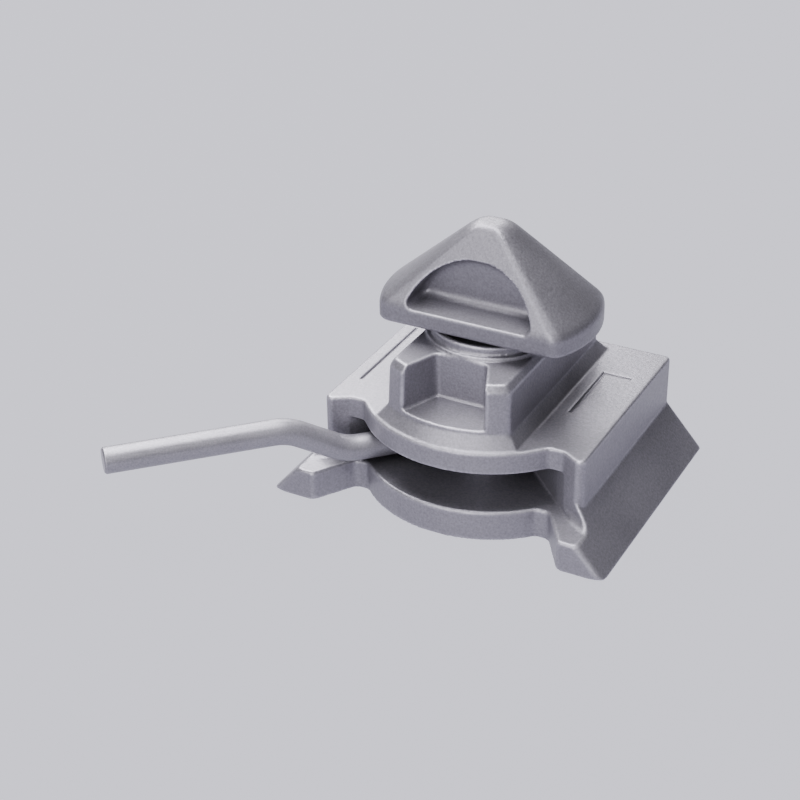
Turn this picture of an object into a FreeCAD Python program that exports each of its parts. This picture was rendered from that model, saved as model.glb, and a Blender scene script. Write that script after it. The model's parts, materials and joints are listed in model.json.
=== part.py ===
"""Container twistlock for a dovetail foundation, with one locking cone on top.

Frame: millimetres, +Z up. The origin lies on the spindle axis in the plane of the underside.
X runs across the dovetail, Y along the slide direction, and -Y is the side with the handle slot.
The model stands locked: the head lies crosswise to the collar and the handle points to the front left.
"""
import FreeCAD, Part
import math
import os
import Sketcher

doc = FreeCAD.newDocument("container_twistlock")

# Driving dimensions
sheet = doc.addObject("Spreadsheet::Sheet", "Sizes")
DIMENSIONS = [
    ("body_half_width", 66.2, "half width of the deck and of the upright walls"),
    ("flank_spread", 19.1, "how far either dovetail flank spreads from the wall to the underside"),
    ("flank_height", 21.6, "height where the dovetail flank meets the upright wall"),
    ("back_reach", 66.5, "from the spindle axis to the back face"),
    ("foot_margin", 1.4, "how far the two feet reach in front of the round apron"),
    ("deck_top", 46.4, "height of the deck that carries the container"),
    ("deck_plate", 11.0, "thickness of the deck plate above the handle slot"),
    ("base_plate", 15.0, "thickness of the base plate below the handle slot"),
    ("apron_margin", 5.2, "how much less the aprons' radius is than the half width of the walls"),
    ("ear_width", 12.0, "from the side wall inwards to the root of the deck ear"),
    ("ear_length", 7.2, "how far the ear's tip reaches in front of its root"),
    ("ear_notch_width", 6.8, "from the ear's root to where the deck's apron starts"),
    ("foot_width", 22.7, "width of a foot's front at the underside"),
    ("foot_root_width", 35.1, "width of a foot at its root, at the underside"),
    ("foot_notch_width", 6.6, "from the foot's root to where the base apron starts"),
    ("notch_round", 4.5, "rounding in the notches beside ears and feet"),
    ("tip_round", 3.0, "rounding of the ear tips and the foot corners"),
    ("back_round", 2.4, "rounding of the upright back corners"),
    ("rim_chamfer", 0.9, "chamfer of the deck's and the base plate's upper edges"),
    ("leg_fillet", 4.0, "fillet where a leg stands on its foot"),
    ("slot_wall_offset", 11.5, "from the handle's line to the slot wall at either end of its swing"),
    ("hub_room_radius", 24.6, "radius of the room for the hub in the slot"),
    ("skirt_height", 6.0, "height of the chamfered skirt round the collar"),
    ("skirt_spread", 4.4, "how far the skirt spreads at deck level, sides and back"),
    ("skirt_front_spread", 4.6, "how far the skirt spreads at deck level, round front"),
    ("collar_half_width", 31.2, "half width of the collar above the skirt"),
    ("collar_back_margin", 10.1, "from the collar's back face to the housing's back"),
    ("collar_margin", 6.2, "from the collar's round front to the apron's edge"),
    ("collar_draft", 0.8, "how much the collar's walls lean inwards up to the bevel"),
    ("collar_top", 76.6, "height of the collar's top face"),
    ("bevel_height", 3.4, "height of the bevel round the collar's top"),
    ("bevel_width", 2.4, "width of the bevel round the collar's top"),
    ("pocket_floor", 54.2, "height of the floor of the front pocket"),
    ("pocket_depth_radius", 31.0, "from the axis to the pocket's back wall"),
    ("pocket_half_angle", 22.4, "angle between the front and either side wall of the pocket"),
    ("pocket_round", 3.0, "fillets in the pocket's back corners"),
    ("post_bevel", 0.9, "bevel of the two posts beside the pocket's mouth"),
    ("collar_round", 1.8, "rounding of the collar's four upright corners"),
    ("boss_base_radius", 29.2, "radius of the round boss where it leaves the collar's top"),
    ("boss_top_radius", 25.6, "radius of the boss at its top"),
    ("boss_height", 3.8, "height of the boss above the collar's top"),
    ("groove_depth", 0.8, "depth of the marking grooves in the deck"),
    ("groove_width", 1.4, "width of the marking grooves"),
    ("left_groove_margin", 7.5, "from the left side wall to the groove in the left deck"),
    ("left_groove_front", 20.7, "how far the left groove reaches in front of the axis"),
    ("right_groove_margin", 23.1, "from the right side wall to the long groove in the right deck"),
    ("right_groove_edge", 9.0, "from the right side wall to the end of the cross groove"),
    ("right_groove_front", 5.0, "how far the right groove reaches in front of the axis"),
    ("groove_back", 36.0, "how far both grooves reach behind the axis"),
    ("neck_radius", 17.0, "radius of the spindle's neck in deck and collar"),
    ("neck_clearance", 0.3, "radial gap between the neck and its bore"),
    ("shank_radius", 13.0, "radius of the spindle's lower shank"),
    ("shank_clearance", 0.3, "radial gap between the shank's end and its bore in the base plate"),
    ("shank_end", 1.6, "height of the shank's lower end above the underside"),
    ("head_underside", 84.5, "height of the head's underside"),
    ("head_half_length", 52.0, "half length of the head, and radius of its round ends"),
    ("head_half_width", 27.5, "half width of the head"),
    ("head_band", 10.0, "height of the upright band round the head"),
    ("head_height", 48.0, "height of the head from underside to tip"),
    ("head_tip_half_length", 7.8, "half length of the tip before rounding"),
    ("head_tip_half_width", 6.8, "half width of the tip before rounding"),
    ("shoulder_below", 2.6, "how far the shoulder's rounding starts below the band's top"),
    ("shoulder_above", 2.6, "how far the shoulder's rounding runs up the slopes"),
    ("tip_below", 4.2, "how far the tip's rounding starts below the tip"),
    ("tip_inwards", 3.4, "how far the tip's rounding runs over the flat at the tip"),
    ("ridge_round", 7.0, "rounding of the head's corners at the band"),
    ("ridge_tip_round", 2.8, "rounding of the head's corners at the tip"),
    ("slope_trim", 0.05, "how much the trimming takes off the head's slopes"),
    ("head_rim_bevel", 1.2, "bevel along the head's lower rim"),
    ("scoop_radius", 44.4, "radius of the upright wall of a scoop"),
    ("scoop_centre", 58.8, "from the axis to the middle of a scoop's round wall"),
    ("scoop_floor", 93.4, "height of a scoop's floor"),
    ("scoop_round", 6.0, "reach of the blend between a scoop's floor and wall"),
    ("hub_radius", 22.8, "radius of the round hub nut in the slot"),
    ("hub_floor_gap", 0.3, "gap between the hub and the slot floor"),
    ("hub_washer_gap", 0.2, "gap between the hub and the thrust washer"),
    ("hub_fit", 0.03, "clearance of the hub on the shank's thread"),
    ("washer_thickness", 1.5, "thickness of the thrust washer under the deck"),
    ("washer_clearance", 0.5, "radial gap between the neck and the washer"),
    ("handle_radius", 6.25, "radius of the round handle bar"),
    ("handle_fit", 0.05, "radial gap between the bar and its holes in hub and shank"),
    ("handle_height", 25.4, "height of the bar's axis inside the slot"),
    ("handle_outer_height", 41.0, "height of the bar's axis outside the body"),
    ("handle_inner_end", 21.6, "how far the bar reaches past the axis at its inner end"),
    ("handle_first_bend", 72.0, "from the axis to the first bend"),
    ("handle_second_bend", 99.5, "from the axis to the second bend"),
    ("handle_reach", 185.2, "from the axis to the bar's outer end"),
    ("handle_bend_radius", 26.0, "radius of both bends at the bar's axis"),
    ("handle_chamfer", 0.8, "chamfer at the bar's outer end"),
    ("pin_radius", 2.0, "radius of the roll pin that holds the bar in the hub"),
    ("pin_bore_radius", 0.9, "radius of the bore through the roll pin"),
    ("pin_fit", 0.02, "clearance round the roll pin"),
    ("pin_recess", 0.3, "how far the roll pin ends inside the hub's faces"),
    ("pin_slit", 0.7, "width of the slit along the roll pin"),
    ("pin_offset", 17.8, "from the axis to the roll pin"),
    ("ball_radius", 2.8, "radius of the detent ball"),
    ("ball_clearance", 0.1, "radial gap between ball and bore"),
    ("ball_offset", 18.4, "from the axis to the detent ball"),
    ("track_depth", 1.3, "depth of the ball's track in the hub's underside"),
    ("track_half_width", 2.6, "half width of the ball's track"),
    ("track_gap", 0.3, "gap between the running ball and its track"),
    ("pocket_extra", 0.8, "how much deeper the two resting pockets of the track are"),
    ("plug_radius", 4.0, "radius of the screw plug under the detent spring"),
    ("plug_height", 4.0, "height of the screw plug"),
    ("plug_recess", 0.6, "how far the plug lies inside the underside"),
    ("plug_fit", 0.05, "radial gap between plug and bore"),
    ("hexagon_flats", 4.0, "width across flats of the plug's hexagon socket"),
    ("hexagon_depth", 2.0, "depth of the plug's hexagon socket"),
    ("spring_wire", 0.7, "wire diameter of the detent spring"),
    ("spring_clearance", 0.35, "radial gap between spring and bore"),
    ("spring_turns", 4.0, "turns of the detent spring"),
]
for row, (alias, amount, note) in enumerate(DIMENSIONS, start=1):
    sheet.set(f"A{row}", alias)
    sheet.set(f"B{row}", str(amount))
    sheet.set(f"C{row}", note)
    sheet.setAlias(f"B{row}", alias)
doc.recompute()

# Heights and lengths that follow from the driving dimensions, as expressions for the features
SLOT_ROOF = "(Sizes.deck_top - Sizes.deck_plate)"
HUB_BOTTOM = "(Sizes.base_plate + Sizes.hub_floor_gap)"
HUB_TOP = f"({SLOT_ROOF} - Sizes.washer_thickness - Sizes.hub_washer_gap)"
SKIRT_TOP = "(Sizes.deck_top + Sizes.skirt_height)"
BEVEL_FOOT = "(Sizes.collar_top - Sizes.bevel_height)"
FOOT_X = "(Sizes.body_half_width + Sizes.flank_spread)"
APRON = "(Sizes.body_half_width - Sizes.apron_margin)"
FOOT_REACH = f"({APRON} + Sizes.foot_margin)"
FOOT_INNER_X = f"({FOOT_X} - Sizes.foot_width)"
FOOT_ROOT_X = f"({FOOT_X} - Sizes.foot_root_width)"
COLLAR_RADIUS = f"({APRON} - Sizes.collar_margin)"
COLLAR_BACK = "(Sizes.back_reach - Sizes.collar_back_margin)"
EAR_ROOT_X = "(Sizes.body_half_width - Sizes.ear_width)"
EAR_ROOT_Y = f"sqrt(pow({APRON}; 2) - pow({EAR_ROOT_X} - Sizes.ear_notch_width; 2))"
EAR_REACH = f"({EAR_ROOT_Y} + Sizes.ear_length)"
FOOT_ROOT_Y = f"sqrt(pow({APRON}; 2) - pow({FOOT_ROOT_X} - Sizes.foot_notch_width; 2))"
HEAD_TIP = "(Sizes.head_underside + Sizes.head_height)"
BAND_TOP = "(Sizes.head_underside + Sizes.head_band)"
NECK_BORE = "(Sizes.neck_radius + Sizes.neck_clearance)"
BALL_BORE = "(Sizes.ball_radius + Sizes.ball_clearance)"
BALL_TOP = f"({HUB_BOTTOM} + Sizes.track_depth - Sizes.track_gap)"
PLUG_TOP = "(Sizes.plug_recess + Sizes.plug_height)"
CUT_MARGIN = "2"


def value(expression):
    """Number that an expression on the sheet gives now."""
    return float(sheet.evalExpression(expression))


def new_body(label):
    body = doc.addObject("PartDesign::Body", label)
    body.Label = label
    return body


def sketch_on(body, name, plane, lift="0"):
    """Sketch on one of the body's own origin planes, lifted along the plane's normal."""
    sketch = body.newObject("Sketcher::SketchObject", name)
    support = [f for f in body.Origin.OriginFeatures if f.Role == plane][0]
    sketch.AttachmentSupport = (support, [""])
    sketch.MapMode = "FlatFace"
    sketch.setExpression("AttachmentOffset.Base.z", lift)
    return sketch


def pin_point(sketch, geometry, end, axis, expression):
    """Tie one coordinate of a point to an expression on the sheet."""
    number = value(expression)
    if abs(number) < 1e-9:
        sketch.addConstraint(Sketcher.Constraint("PointOnObject", geometry, end, -2 if axis == "X" else -1))
        return
    index = sketch.addConstraint(Sketcher.Constraint("Distance" + axis, -1, 1, geometry, end, number))
    sketch.setExpression(f"Constraints[{index}]", expression)


def polygon(sketch, corners):
    """Closed outline of straight lines, each corner an (x, y) pair of expressions."""
    points = [FreeCAD.Vector(value(x), value(y), 0) for x, y in corners]
    first = None
    for here, there in zip(points, points[1:] + points[:1]):
        line = sketch.addGeometry(Part.LineSegment(here, there), False)
        first = line if first is None else first
    for step, (x, y) in enumerate(corners):
        previous = first + (step - 1) % len(corners)
        sketch.addConstraint(Sketcher.Constraint("Coincident", previous, 2, first + step, 1))
        pin_point(sketch, first + step, 1, "X", x)
        pin_point(sketch, first + step, 1, "Y", y)


def mirrored(half):
    """Corners of a symmetric outline, from its right half given from front to back."""
    return half + [(f"-({x})", y) for x, y in reversed(half)]


def circle(sketch, x, y, radius):
    centre = FreeCAD.Vector(value(x), value(y), 0)
    ring = sketch.addGeometry(Part.Circle(centre, FreeCAD.Vector(0, 0, 1), value(radius)), False)
    index = sketch.addConstraint(Sketcher.Constraint("Radius", ring, value(radius)))
    sketch.setExpression(f"Constraints[{index}]", radius)
    pin_point(sketch, ring, 3, "X", x)
    pin_point(sketch, ring, 3, "Y", y)


def round_front(sketch, half_width, back, radius):
    """Outline with straight back and sides and a front arc round the spindle axis."""
    w, b, r = value(half_width), value(back), value(radius)
    front = -math.sqrt(r * r - w * w)
    corners = [FreeCAD.Vector(*p, 0) for p in ((-w, b), (w, b), (w, front), (-w, front))]
    sketch.addGeometry(Part.LineSegment(corners[0], corners[1]), False)
    sketch.addGeometry(Part.LineSegment(corners[1], corners[2]), False)
    sketch.addGeometry(Part.LineSegment(corners[3], corners[0]), False)
    turn = math.atan2(front, w)
    ring = Part.Circle(FreeCAD.Vector(0, 0, 0), FreeCAD.Vector(0, 0, 1), r)
    sketch.addGeometry(Part.ArcOfCircle(ring, math.pi - turn, 2 * math.pi + turn), False)
    for joint in ((0, 2, 1, 1), (1, 2, 3, 2), (3, 1, 2, 1), (2, 2, 0, 1)):
        sketch.addConstraint(Sketcher.Constraint("Coincident", *joint))
    sketch.addConstraint(Sketcher.Constraint("Coincident", 3, 3, -1, 1))
    index = sketch.addConstraint(Sketcher.Constraint("Radius", 3, r))
    sketch.setExpression(f"Constraints[{index}]", radius)
    pin_point(sketch, 0, 1, "X", f"-({half_width})")
    pin_point(sketch, 0, 2, "X", half_width)
    pin_point(sketch, 0, 1, "Y", back)
    pin_point(sketch, 0, 2, "Y", back)
    pin_point(sketch, 1, 2, "X", half_width)
    pin_point(sketch, 2, 1, "X", f"-({half_width})")


def hollow_corner(sketch, side, radius, depth):
    """Section of a concave fillet at the sketch's origin, sunk by depth into floor and wall."""
    r, d = value(radius), value(depth)
    corners = [(-side * r, 0), (-side * r, -d), (side * d, -d), (side * d, r), (0, r)]
    points = [FreeCAD.Vector(x, y, 0) for x, y in corners]
    for here, there in zip(points, points[1:]):
        sketch.addGeometry(Part.LineSegment(here, there), False)
    ring = Part.Circle(FreeCAD.Vector(-side * r, r, 0), FreeCAD.Vector(0, 0, 1), r)
    quarter = math.pi / 2
    start = -quarter if side > 0 else -2 * quarter
    sketch.addGeometry(Part.ArcOfCircle(ring, start, start + quarter), False)
    arc_ends = (1, 2) if side > 0 else (2, 1)
    for joint in ((0, 2, 1, 1), (1, 2, 2, 1), (2, 2, 3, 1), (3, 2, 4, arc_ends[1]), (0, 1, 4, arc_ends[0])):
        sketch.addConstraint(Sketcher.Constraint("Coincident", *joint))
    index = sketch.addConstraint(Sketcher.Constraint("Radius", 4, r))
    sketch.setExpression(f"Constraints[{index}]", radius)
    sketch.addConstraint(Sketcher.Constraint("Vertical", 0))
    sketch.addConstraint(Sketcher.Constraint("Horizontal", 1))
    sketch.addConstraint(Sketcher.Constraint("Vertical", 2))
    sketch.addConstraint(Sketcher.Constraint("Horizontal", 3))
    for geometry, end, axis, expression in ((0, 1, "X", f"{-side} * {radius}"), (0, 1, "Y", "0"),
                                            (0, 2, "Y", f"-{depth}"), (2, 1, "X", f"{side} * {depth}"),
                                            (3, 2, "X", "0"), (3, 2, "Y", radius)):
        pin_point(sketch, geometry, end, axis, expression)


def extrude(body, kind, name, sketch, length, reverse=False, middle=False):
    """Pad or pocket of one length; a reversed pocket cuts along the sketch's normal."""
    feature = body.newObject(f"PartDesign::{kind}", name)
    feature.Profile = sketch
    feature.setExpression("Length", length)
    feature.Reversed = reverse
    feature.Midplane = middle
    doc.recompute()
    return feature


def turn(body, kind, name, sketch, angle="360"):
    """Revolution or groove about the sketch's upright axis."""
    feature = body.newObject(f"PartDesign::{kind}", name)
    feature.Profile = sketch
    feature.ReferenceAxis = (sketch, ["V_Axis"])
    feature.setExpression("Angle", angle)
    doc.recompute()
    return feature


def edges_where(feature, test):
    """Names of the feature's edges for which the test holds."""
    return [f"Edge{n}" for n, edge in enumerate(feature.Shape.Edges, start=1) if test(edge)]


def dress(body, kind, name, base, edges, amount):
    """Fillet or chamfer on the named edges of the feature before it."""
    feature = body.newObject(f"PartDesign::{kind}", name)
    feature.Base = (base, edges)
    feature.setExpression("Radius" if kind == "Fillet" else "Size", amount)
    doc.recompute()
    return feature


# Housing: one steel casting with dovetail base, handle slot, deck and collar
housing = new_body("housing")
section = sketch_on(housing, "dovetail_section", "XZ_Plane", "-Sizes.back_reach")
polygon(section, mirrored([(FOOT_X, "0"),
                           ("Sizes.body_half_width", "Sizes.flank_height"),
                           ("Sizes.body_half_width", "Sizes.deck_top")]))
extrude(housing, "Pad", "dovetail_block", section, f"Sizes.back_reach + {FOOT_REACH}")

OUTSIDE = f"({FOOT_X} + {CUT_MARGIN})"
IN_FRONT = f"-({FOOT_REACH} + {CUT_MARGIN})"
upper_relief = sketch_on(housing, "upper_relief_outline", "XY_Plane", "Sizes.base_plate")
EAR_SLOPE = "(Sizes.ear_length / Sizes.ear_width)"
polygon(upper_relief, mirrored([(OUTSIDE, IN_FRONT),
                                (OUTSIDE, f"-({EAR_ROOT_Y} + ({OUTSIDE} - {EAR_ROOT_X}) * {EAR_SLOPE})"),
                                (EAR_ROOT_X, f"-{EAR_ROOT_Y}")]))
extrude(housing, "Pocket", "upper_relief", upper_relief,
        f"Sizes.deck_top - Sizes.base_plate + {CUT_MARGIN}", reverse=True)
base_relief = sketch_on(housing, "base_relief_outline", "XY_Plane")
FOOT_SLOPE = f"(({FOOT_INNER_X} - {FOOT_ROOT_X}) / ({FOOT_REACH} - {FOOT_ROOT_Y}))"
polygon(base_relief, mirrored([(f"({FOOT_INNER_X} + {CUT_MARGIN} * {FOOT_SLOPE})", IN_FRONT),
                               (FOOT_ROOT_X, f"-{FOOT_ROOT_Y}")]))
extrude(housing, "Pocket", "base_relief", base_relief, "Sizes.base_plate", reverse=True)

base_apron = sketch_on(housing, "base_apron_outline", "XY_Plane")
circle(base_apron, "0", "0", APRON)
extrude(housing, "Pad", "base_apron", base_apron, "Sizes.base_plate")
deck_apron = sketch_on(housing, "deck_apron_outline", "XY_Plane", SLOT_ROOF)
circle(deck_apron, "0", "0", APRON)
extrude(housing, "Pad", "deck_apron", deck_apron, "Sizes.deck_plate")

# Fillets where the legs stand on the feet, trimmed to the dovetail's flanks
for side, sign in (("left", -1), ("right", 1)):
    fillet = sketch_on(housing, f"{side}_leg_fillet_section", "XZ_Plane")
    turned = FreeCAD.Rotation(FreeCAD.Vector(0, sign, 0), 59)
    fillet.AttachmentOffset = FreeCAD.Placement(FreeCAD.Vector(), turned)
    fillet.setExpression("AttachmentOffset.Rotation.Angle", "atan(Sizes.ear_width / Sizes.ear_length)")
    fillet.setExpression("AttachmentOffset.Base.x", f"{sign} * {EAR_ROOT_X}")
    fillet.setExpression("AttachmentOffset.Base.y", "Sizes.base_plate")
    fillet.setExpression("AttachmentOffset.Base.z", EAR_ROOT_Y)
    hollow_corner(fillet, sign, "Sizes.leg_fillet", CUT_MARGIN)
    extrude(housing, "Pad", f"{side}_leg_fillet", fillet,
            f"({OUTSIDE} - {EAR_ROOT_X}) * sqrt(1 + pow({EAR_SLOPE}; 2))")
trim = sketch_on(housing, "flank_trim_section", "XZ_Plane", EAR_ROOT_Y)
BELOW_FILLET = f"(Sizes.base_plate - {CUT_MARGIN})"
ABOVE_FILLET = "(Sizes.flank_height + Sizes.leg_fillet)"
FLANK_BELOW = f"({FOOT_X} - Sizes.flank_spread * {BELOW_FILLET} / Sizes.flank_height)"
FAR_OUTSIDE = f"({OUTSIDE} + Sizes.leg_fillet)"
for sign in (1, -1):
    polygon(trim, [(f"{sign} * {FLANK_BELOW}", BELOW_FILLET),
                   (f"{sign} * Sizes.body_half_width", "Sizes.flank_height"),
                   (f"{sign} * Sizes.body_half_width", ABOVE_FILLET),
                   (f"{sign} * {FAR_OUTSIDE}", ABOVE_FILLET),
                   (f"{sign} * {FAR_OUTSIDE}", BELOW_FILLET)])
extrude(housing, "Pocket", "flank_trim", trim, f"{FOOT_REACH} + {CUT_MARGIN}", reverse=True)

SLOT_HEIGHT = f"({SLOT_ROOF} - Sizes.base_plate)"
WALL_CROSSING = "(Sizes.slot_wall_offset * sqrt(2))"
slot = sketch_on(housing, "slot_outline", "XY_Plane", "Sizes.base_plate")
polygon(slot, [(f"({WALL_CROSSING} - {IN_FRONT})", IN_FRONT), ("0", WALL_CROSSING),
               (f"-({WALL_CROSSING} - {IN_FRONT})", IN_FRONT)])
extrude(housing, "Pocket", "handle_slot", slot, SLOT_HEIGHT, reverse=True)
hub_room = sketch_on(housing, "hub_room_outline", "XY_Plane", "Sizes.base_plate")
circle(hub_room, "0", "0", "Sizes.hub_room_radius")
plates = extrude(housing, "Pocket", "hub_room", hub_room, SLOT_HEIGHT, reverse=True)


def middle_of(edge):
    return edge.valueAt((edge.FirstParameter + edge.LastParameter) / 2)


def is_at(edge, axis, *expressions):
    """True where the middle of the edge has one of these coordinates, on either side of the origin."""
    place = abs(getattr(middle_of(edge), axis))
    return any(abs(place - value(expression)) < 0.01 for expression in expressions)


def rises(edge):
    return edge.BoundBox.ZLength > 1


def is_upright(edge):
    return rises(edge) and edge.BoundBox.XLength + edge.BoundBox.YLength < 1e-6


def is_in_plane(edge, level):
    return edge.BoundBox.ZLength < 1e-6 and is_at(edge, "z", level)


def is_notch(edge):
    """Inner corner where an apron meets an ear of the deck or a foot of the base."""
    middle = middle_of(edge)
    on_apron = abs(math.hypot(middle.x, middle.y) - value(APRON)) < 0.01
    at_root = (is_at(edge, "y", FOOT_ROOT_Y) and is_at(edge, "x", FOOT_ROOT_X)
               or is_at(edge, "y", EAR_ROOT_Y) and is_at(edge, "x", EAR_ROOT_X))
    return is_upright(edge) and (on_apron or at_root)


def is_base_rim(edge):
    """Upper edge of the base plate, from foot to foot round the apron."""
    middle = middle_of(edge)
    past_legs = middle.y < -value(EAR_REACH) - value("Sizes.leg_fillet")
    across_notch = abs(middle.x) < value(FOOT_ROOT_X) and middle.y < -value(FOOT_ROOT_Y) + 1
    outside = math.hypot(middle.x, middle.y) > value(APRON) - 0.5
    return is_in_plane(edge, "Sizes.base_plate") and outside and (past_legs or across_notch)


plates = dress(housing, "Fillet", "notch_rounds", plates, edges_where(plates, is_notch), "Sizes.notch_round")
plates = dress(housing, "Fillet", "tip_rounds", plates, edges_where(
    plates, lambda edge: is_upright(edge) and is_at(edge, "y", EAR_REACH, FOOT_REACH)),
    "Sizes.tip_round")
plates = dress(housing, "Fillet", "corner_rounds", plates, edges_where(
    plates, lambda edge: rises(edge) and is_at(edge, "y", "Sizes.back_reach")
    or rises(edge) and is_at(edge, "y", FOOT_REACH) and not is_upright(edge)), "Sizes.back_round")
plates = dress(housing, "Chamfer", "deck_rims", plates, edges_where(
    plates, lambda edge: is_in_plane(edge, "Sizes.deck_top")), "Sizes.rim_chamfer")
plates = dress(housing, "Chamfer", "base_rims", plates, edges_where(plates, is_base_rim),
               "Sizes.rim_chamfer")

# Collar: chamfered skirt, upright block and bevel, each lofted between two outlines
collar_levels = [
    ("Sizes.deck_top", "Sizes.collar_half_width + Sizes.skirt_spread",
     f"{COLLAR_BACK} + Sizes.skirt_spread", f"{COLLAR_RADIUS} + Sizes.skirt_front_spread"),
    (SKIRT_TOP, "Sizes.collar_half_width", COLLAR_BACK, COLLAR_RADIUS),
    (BEVEL_FOOT, "Sizes.collar_half_width - Sizes.collar_draft",
     f"{COLLAR_BACK} - Sizes.collar_draft", f"{COLLAR_RADIUS} - Sizes.collar_draft"),
    ("Sizes.collar_top", "Sizes.collar_half_width - Sizes.collar_draft - Sizes.bevel_width",
     f"{COLLAR_BACK} - Sizes.collar_draft - Sizes.bevel_width",
     f"{COLLAR_RADIUS} - Sizes.collar_draft - Sizes.bevel_width"),
]
for stage, (lower, upper) in enumerate(zip(collar_levels, collar_levels[1:]), start=1):
    outlines = []
    for position, (level, half_width, back, radius) in (("lower", lower), ("upper", upper)):
        outline = sketch_on(housing, f"collar_{stage}_{position}", "XY_Plane", level)
        round_front(outline, half_width, back, radius)
        outlines.append(outline)
    loft = housing.newObject("PartDesign::AdditiveLoft", f"collar_{stage}")
    loft.Profile = outlines[0]
    loft.Sections = [outlines[1]]
    loft.Ruled = True
    doc.recompute()

boss = sketch_on(housing, "boss_section", "XZ_Plane")
BOSS_TOP = "(Sizes.collar_top + Sizes.boss_height)"
polygon(boss, [("0", BEVEL_FOOT), ("Sizes.boss_base_radius", BEVEL_FOOT),
               ("Sizes.boss_base_radius", "Sizes.collar_top"), ("Sizes.boss_top_radius", BOSS_TOP),
               ("0", BOSS_TOP)])
turn(housing, "Revolution", "boss", boss)

pocket = sketch_on(housing, "front_pocket_outline", "XY_Plane", "Sizes.pocket_floor")
POCKET_MOUTH = f"({COLLAR_RADIUS} + {CUT_MARGIN})"
SPREAD = "tan(Sizes.pocket_half_angle)"
polygon(pocket, mirrored([(f"{POCKET_MOUTH} * {SPREAD}", f"-{POCKET_MOUTH}"),
                          (f"Sizes.pocket_depth_radius * {SPREAD}", "-Sizes.pocket_depth_radius")]))
collar = extrude(housing, "Pocket", "front_pocket", pocket,
                 f"Sizes.collar_top - Sizes.pocket_floor + {CUT_MARGIN}", reverse=True)


def is_post_edge(edge):
    """Upright edge where a side wall of the pocket meets the collar's round front."""
    middle = middle_of(edge)
    inside_skirt = math.hypot(middle.x, middle.y) > value(f"{COLLAR_RADIUS} - Sizes.collar_draft")
    bearing = math.degrees(math.atan2(abs(middle.x), -middle.y))
    return (rises(edge) and inside_skirt and abs(bearing - value("Sizes.pocket_half_angle")) < 0.5
            and middle.z > value("Sizes.pocket_floor"))


def is_collar_corner(edge):
    """One of the three stacked edges of a corner: on skirt, block and bevel."""
    middle = middle_of(edge)
    widest = value("Sizes.collar_half_width + Sizes.skirt_spread")
    narrowest = value("Sizes.collar_half_width - Sizes.collar_draft - Sizes.bevel_width")
    at_end = middle.y > value("Sizes.boss_base_radius") or middle.y < -value("Sizes.pocket_depth_radius")
    beside = narrowest < abs(middle.x) < widest
    return rises(edge) and middle.z > value("Sizes.deck_top") and beside and at_end


collar = dress(housing, "Fillet", "pocket_rounds", collar, edges_where(
    collar, lambda edge: rises(edge) and is_at(edge, "y", "Sizes.pocket_depth_radius")), "Sizes.pocket_round")
collar = dress(housing, "Chamfer", "post_bevels", collar, edges_where(collar, is_post_edge),
               "Sizes.post_bevel")
collar = dress(housing, "Fillet", "collar_rounds", collar, edges_where(collar, is_collar_corner),
               "Sizes.collar_round")

neck_bore = sketch_on(housing, "neck_bore_outline", "XY_Plane", SLOT_ROOF)
circle(neck_bore, "0", "0", NECK_BORE)
extrude(housing, "Pocket", "neck_bore", neck_bore,
        f"{BOSS_TOP} - {SLOT_ROOF} + {CUT_MARGIN}", reverse=True)
shank_bore = sketch_on(housing, "shank_bore_outline", "XY_Plane")
circle(shank_bore, "0", "0", "Sizes.shank_radius + Sizes.shank_clearance")
extrude(housing, "Pocket", "shank_bore", shank_bore, "Sizes.base_plate", reverse=True)
ball_bore = sketch_on(housing, "ball_bore_outline", "XY_Plane")
circle(ball_bore, "0", "Sizes.ball_offset", BALL_BORE)
extrude(housing, "Pocket", "ball_bore", ball_bore, "Sizes.base_plate", reverse=True)
plug_bore = sketch_on(housing, "plug_bore_outline", "XY_Plane")
circle(plug_bore, "0", "Sizes.ball_offset", "Sizes.plug_radius + Sizes.plug_fit")
extrude(housing, "Pocket", "plug_bore", plug_bore, PLUG_TOP, reverse=True)


def rectangle(sketch, left, right, front, back):
    polygon(sketch, [(right, front), (right, back), (left, back), (left, front)])


LEFT_GROOVE = "(Sizes.body_half_width - Sizes.left_groove_margin)"
RIGHT_GROOVE = "(Sizes.body_half_width - Sizes.right_groove_margin)"
grooves = {
    "left_groove": (f"-({LEFT_GROOVE} + Sizes.groove_width / 2)",
                    f"-({LEFT_GROOVE} - Sizes.groove_width / 2)",
                    "-Sizes.left_groove_front", "Sizes.groove_back + Sizes.groove_width"),
    "right_groove": (f"{RIGHT_GROOVE} - Sizes.groove_width / 2",
                     f"{RIGHT_GROOVE} + Sizes.groove_width / 2",
                     "-Sizes.right_groove_front", "Sizes.groove_back + Sizes.groove_width"),
    "right_cross_groove": (f"{RIGHT_GROOVE} - Sizes.groove_width / 2",
                           "(Sizes.body_half_width - Sizes.right_groove_edge)",
                           "Sizes.groove_back", "Sizes.groove_back + Sizes.groove_width"),
}
for name, (left, right, front, back) in grooves.items():
    outline = sketch_on(housing, f"{name}_outline", "XY_Plane", "Sizes.deck_top - Sizes.groove_depth")
    rectangle(outline, left, right, front, back)
    extrude(housing, "Pocket", name, outline, "Sizes.groove_depth + Sizes.groove_depth", reverse=True)

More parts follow.
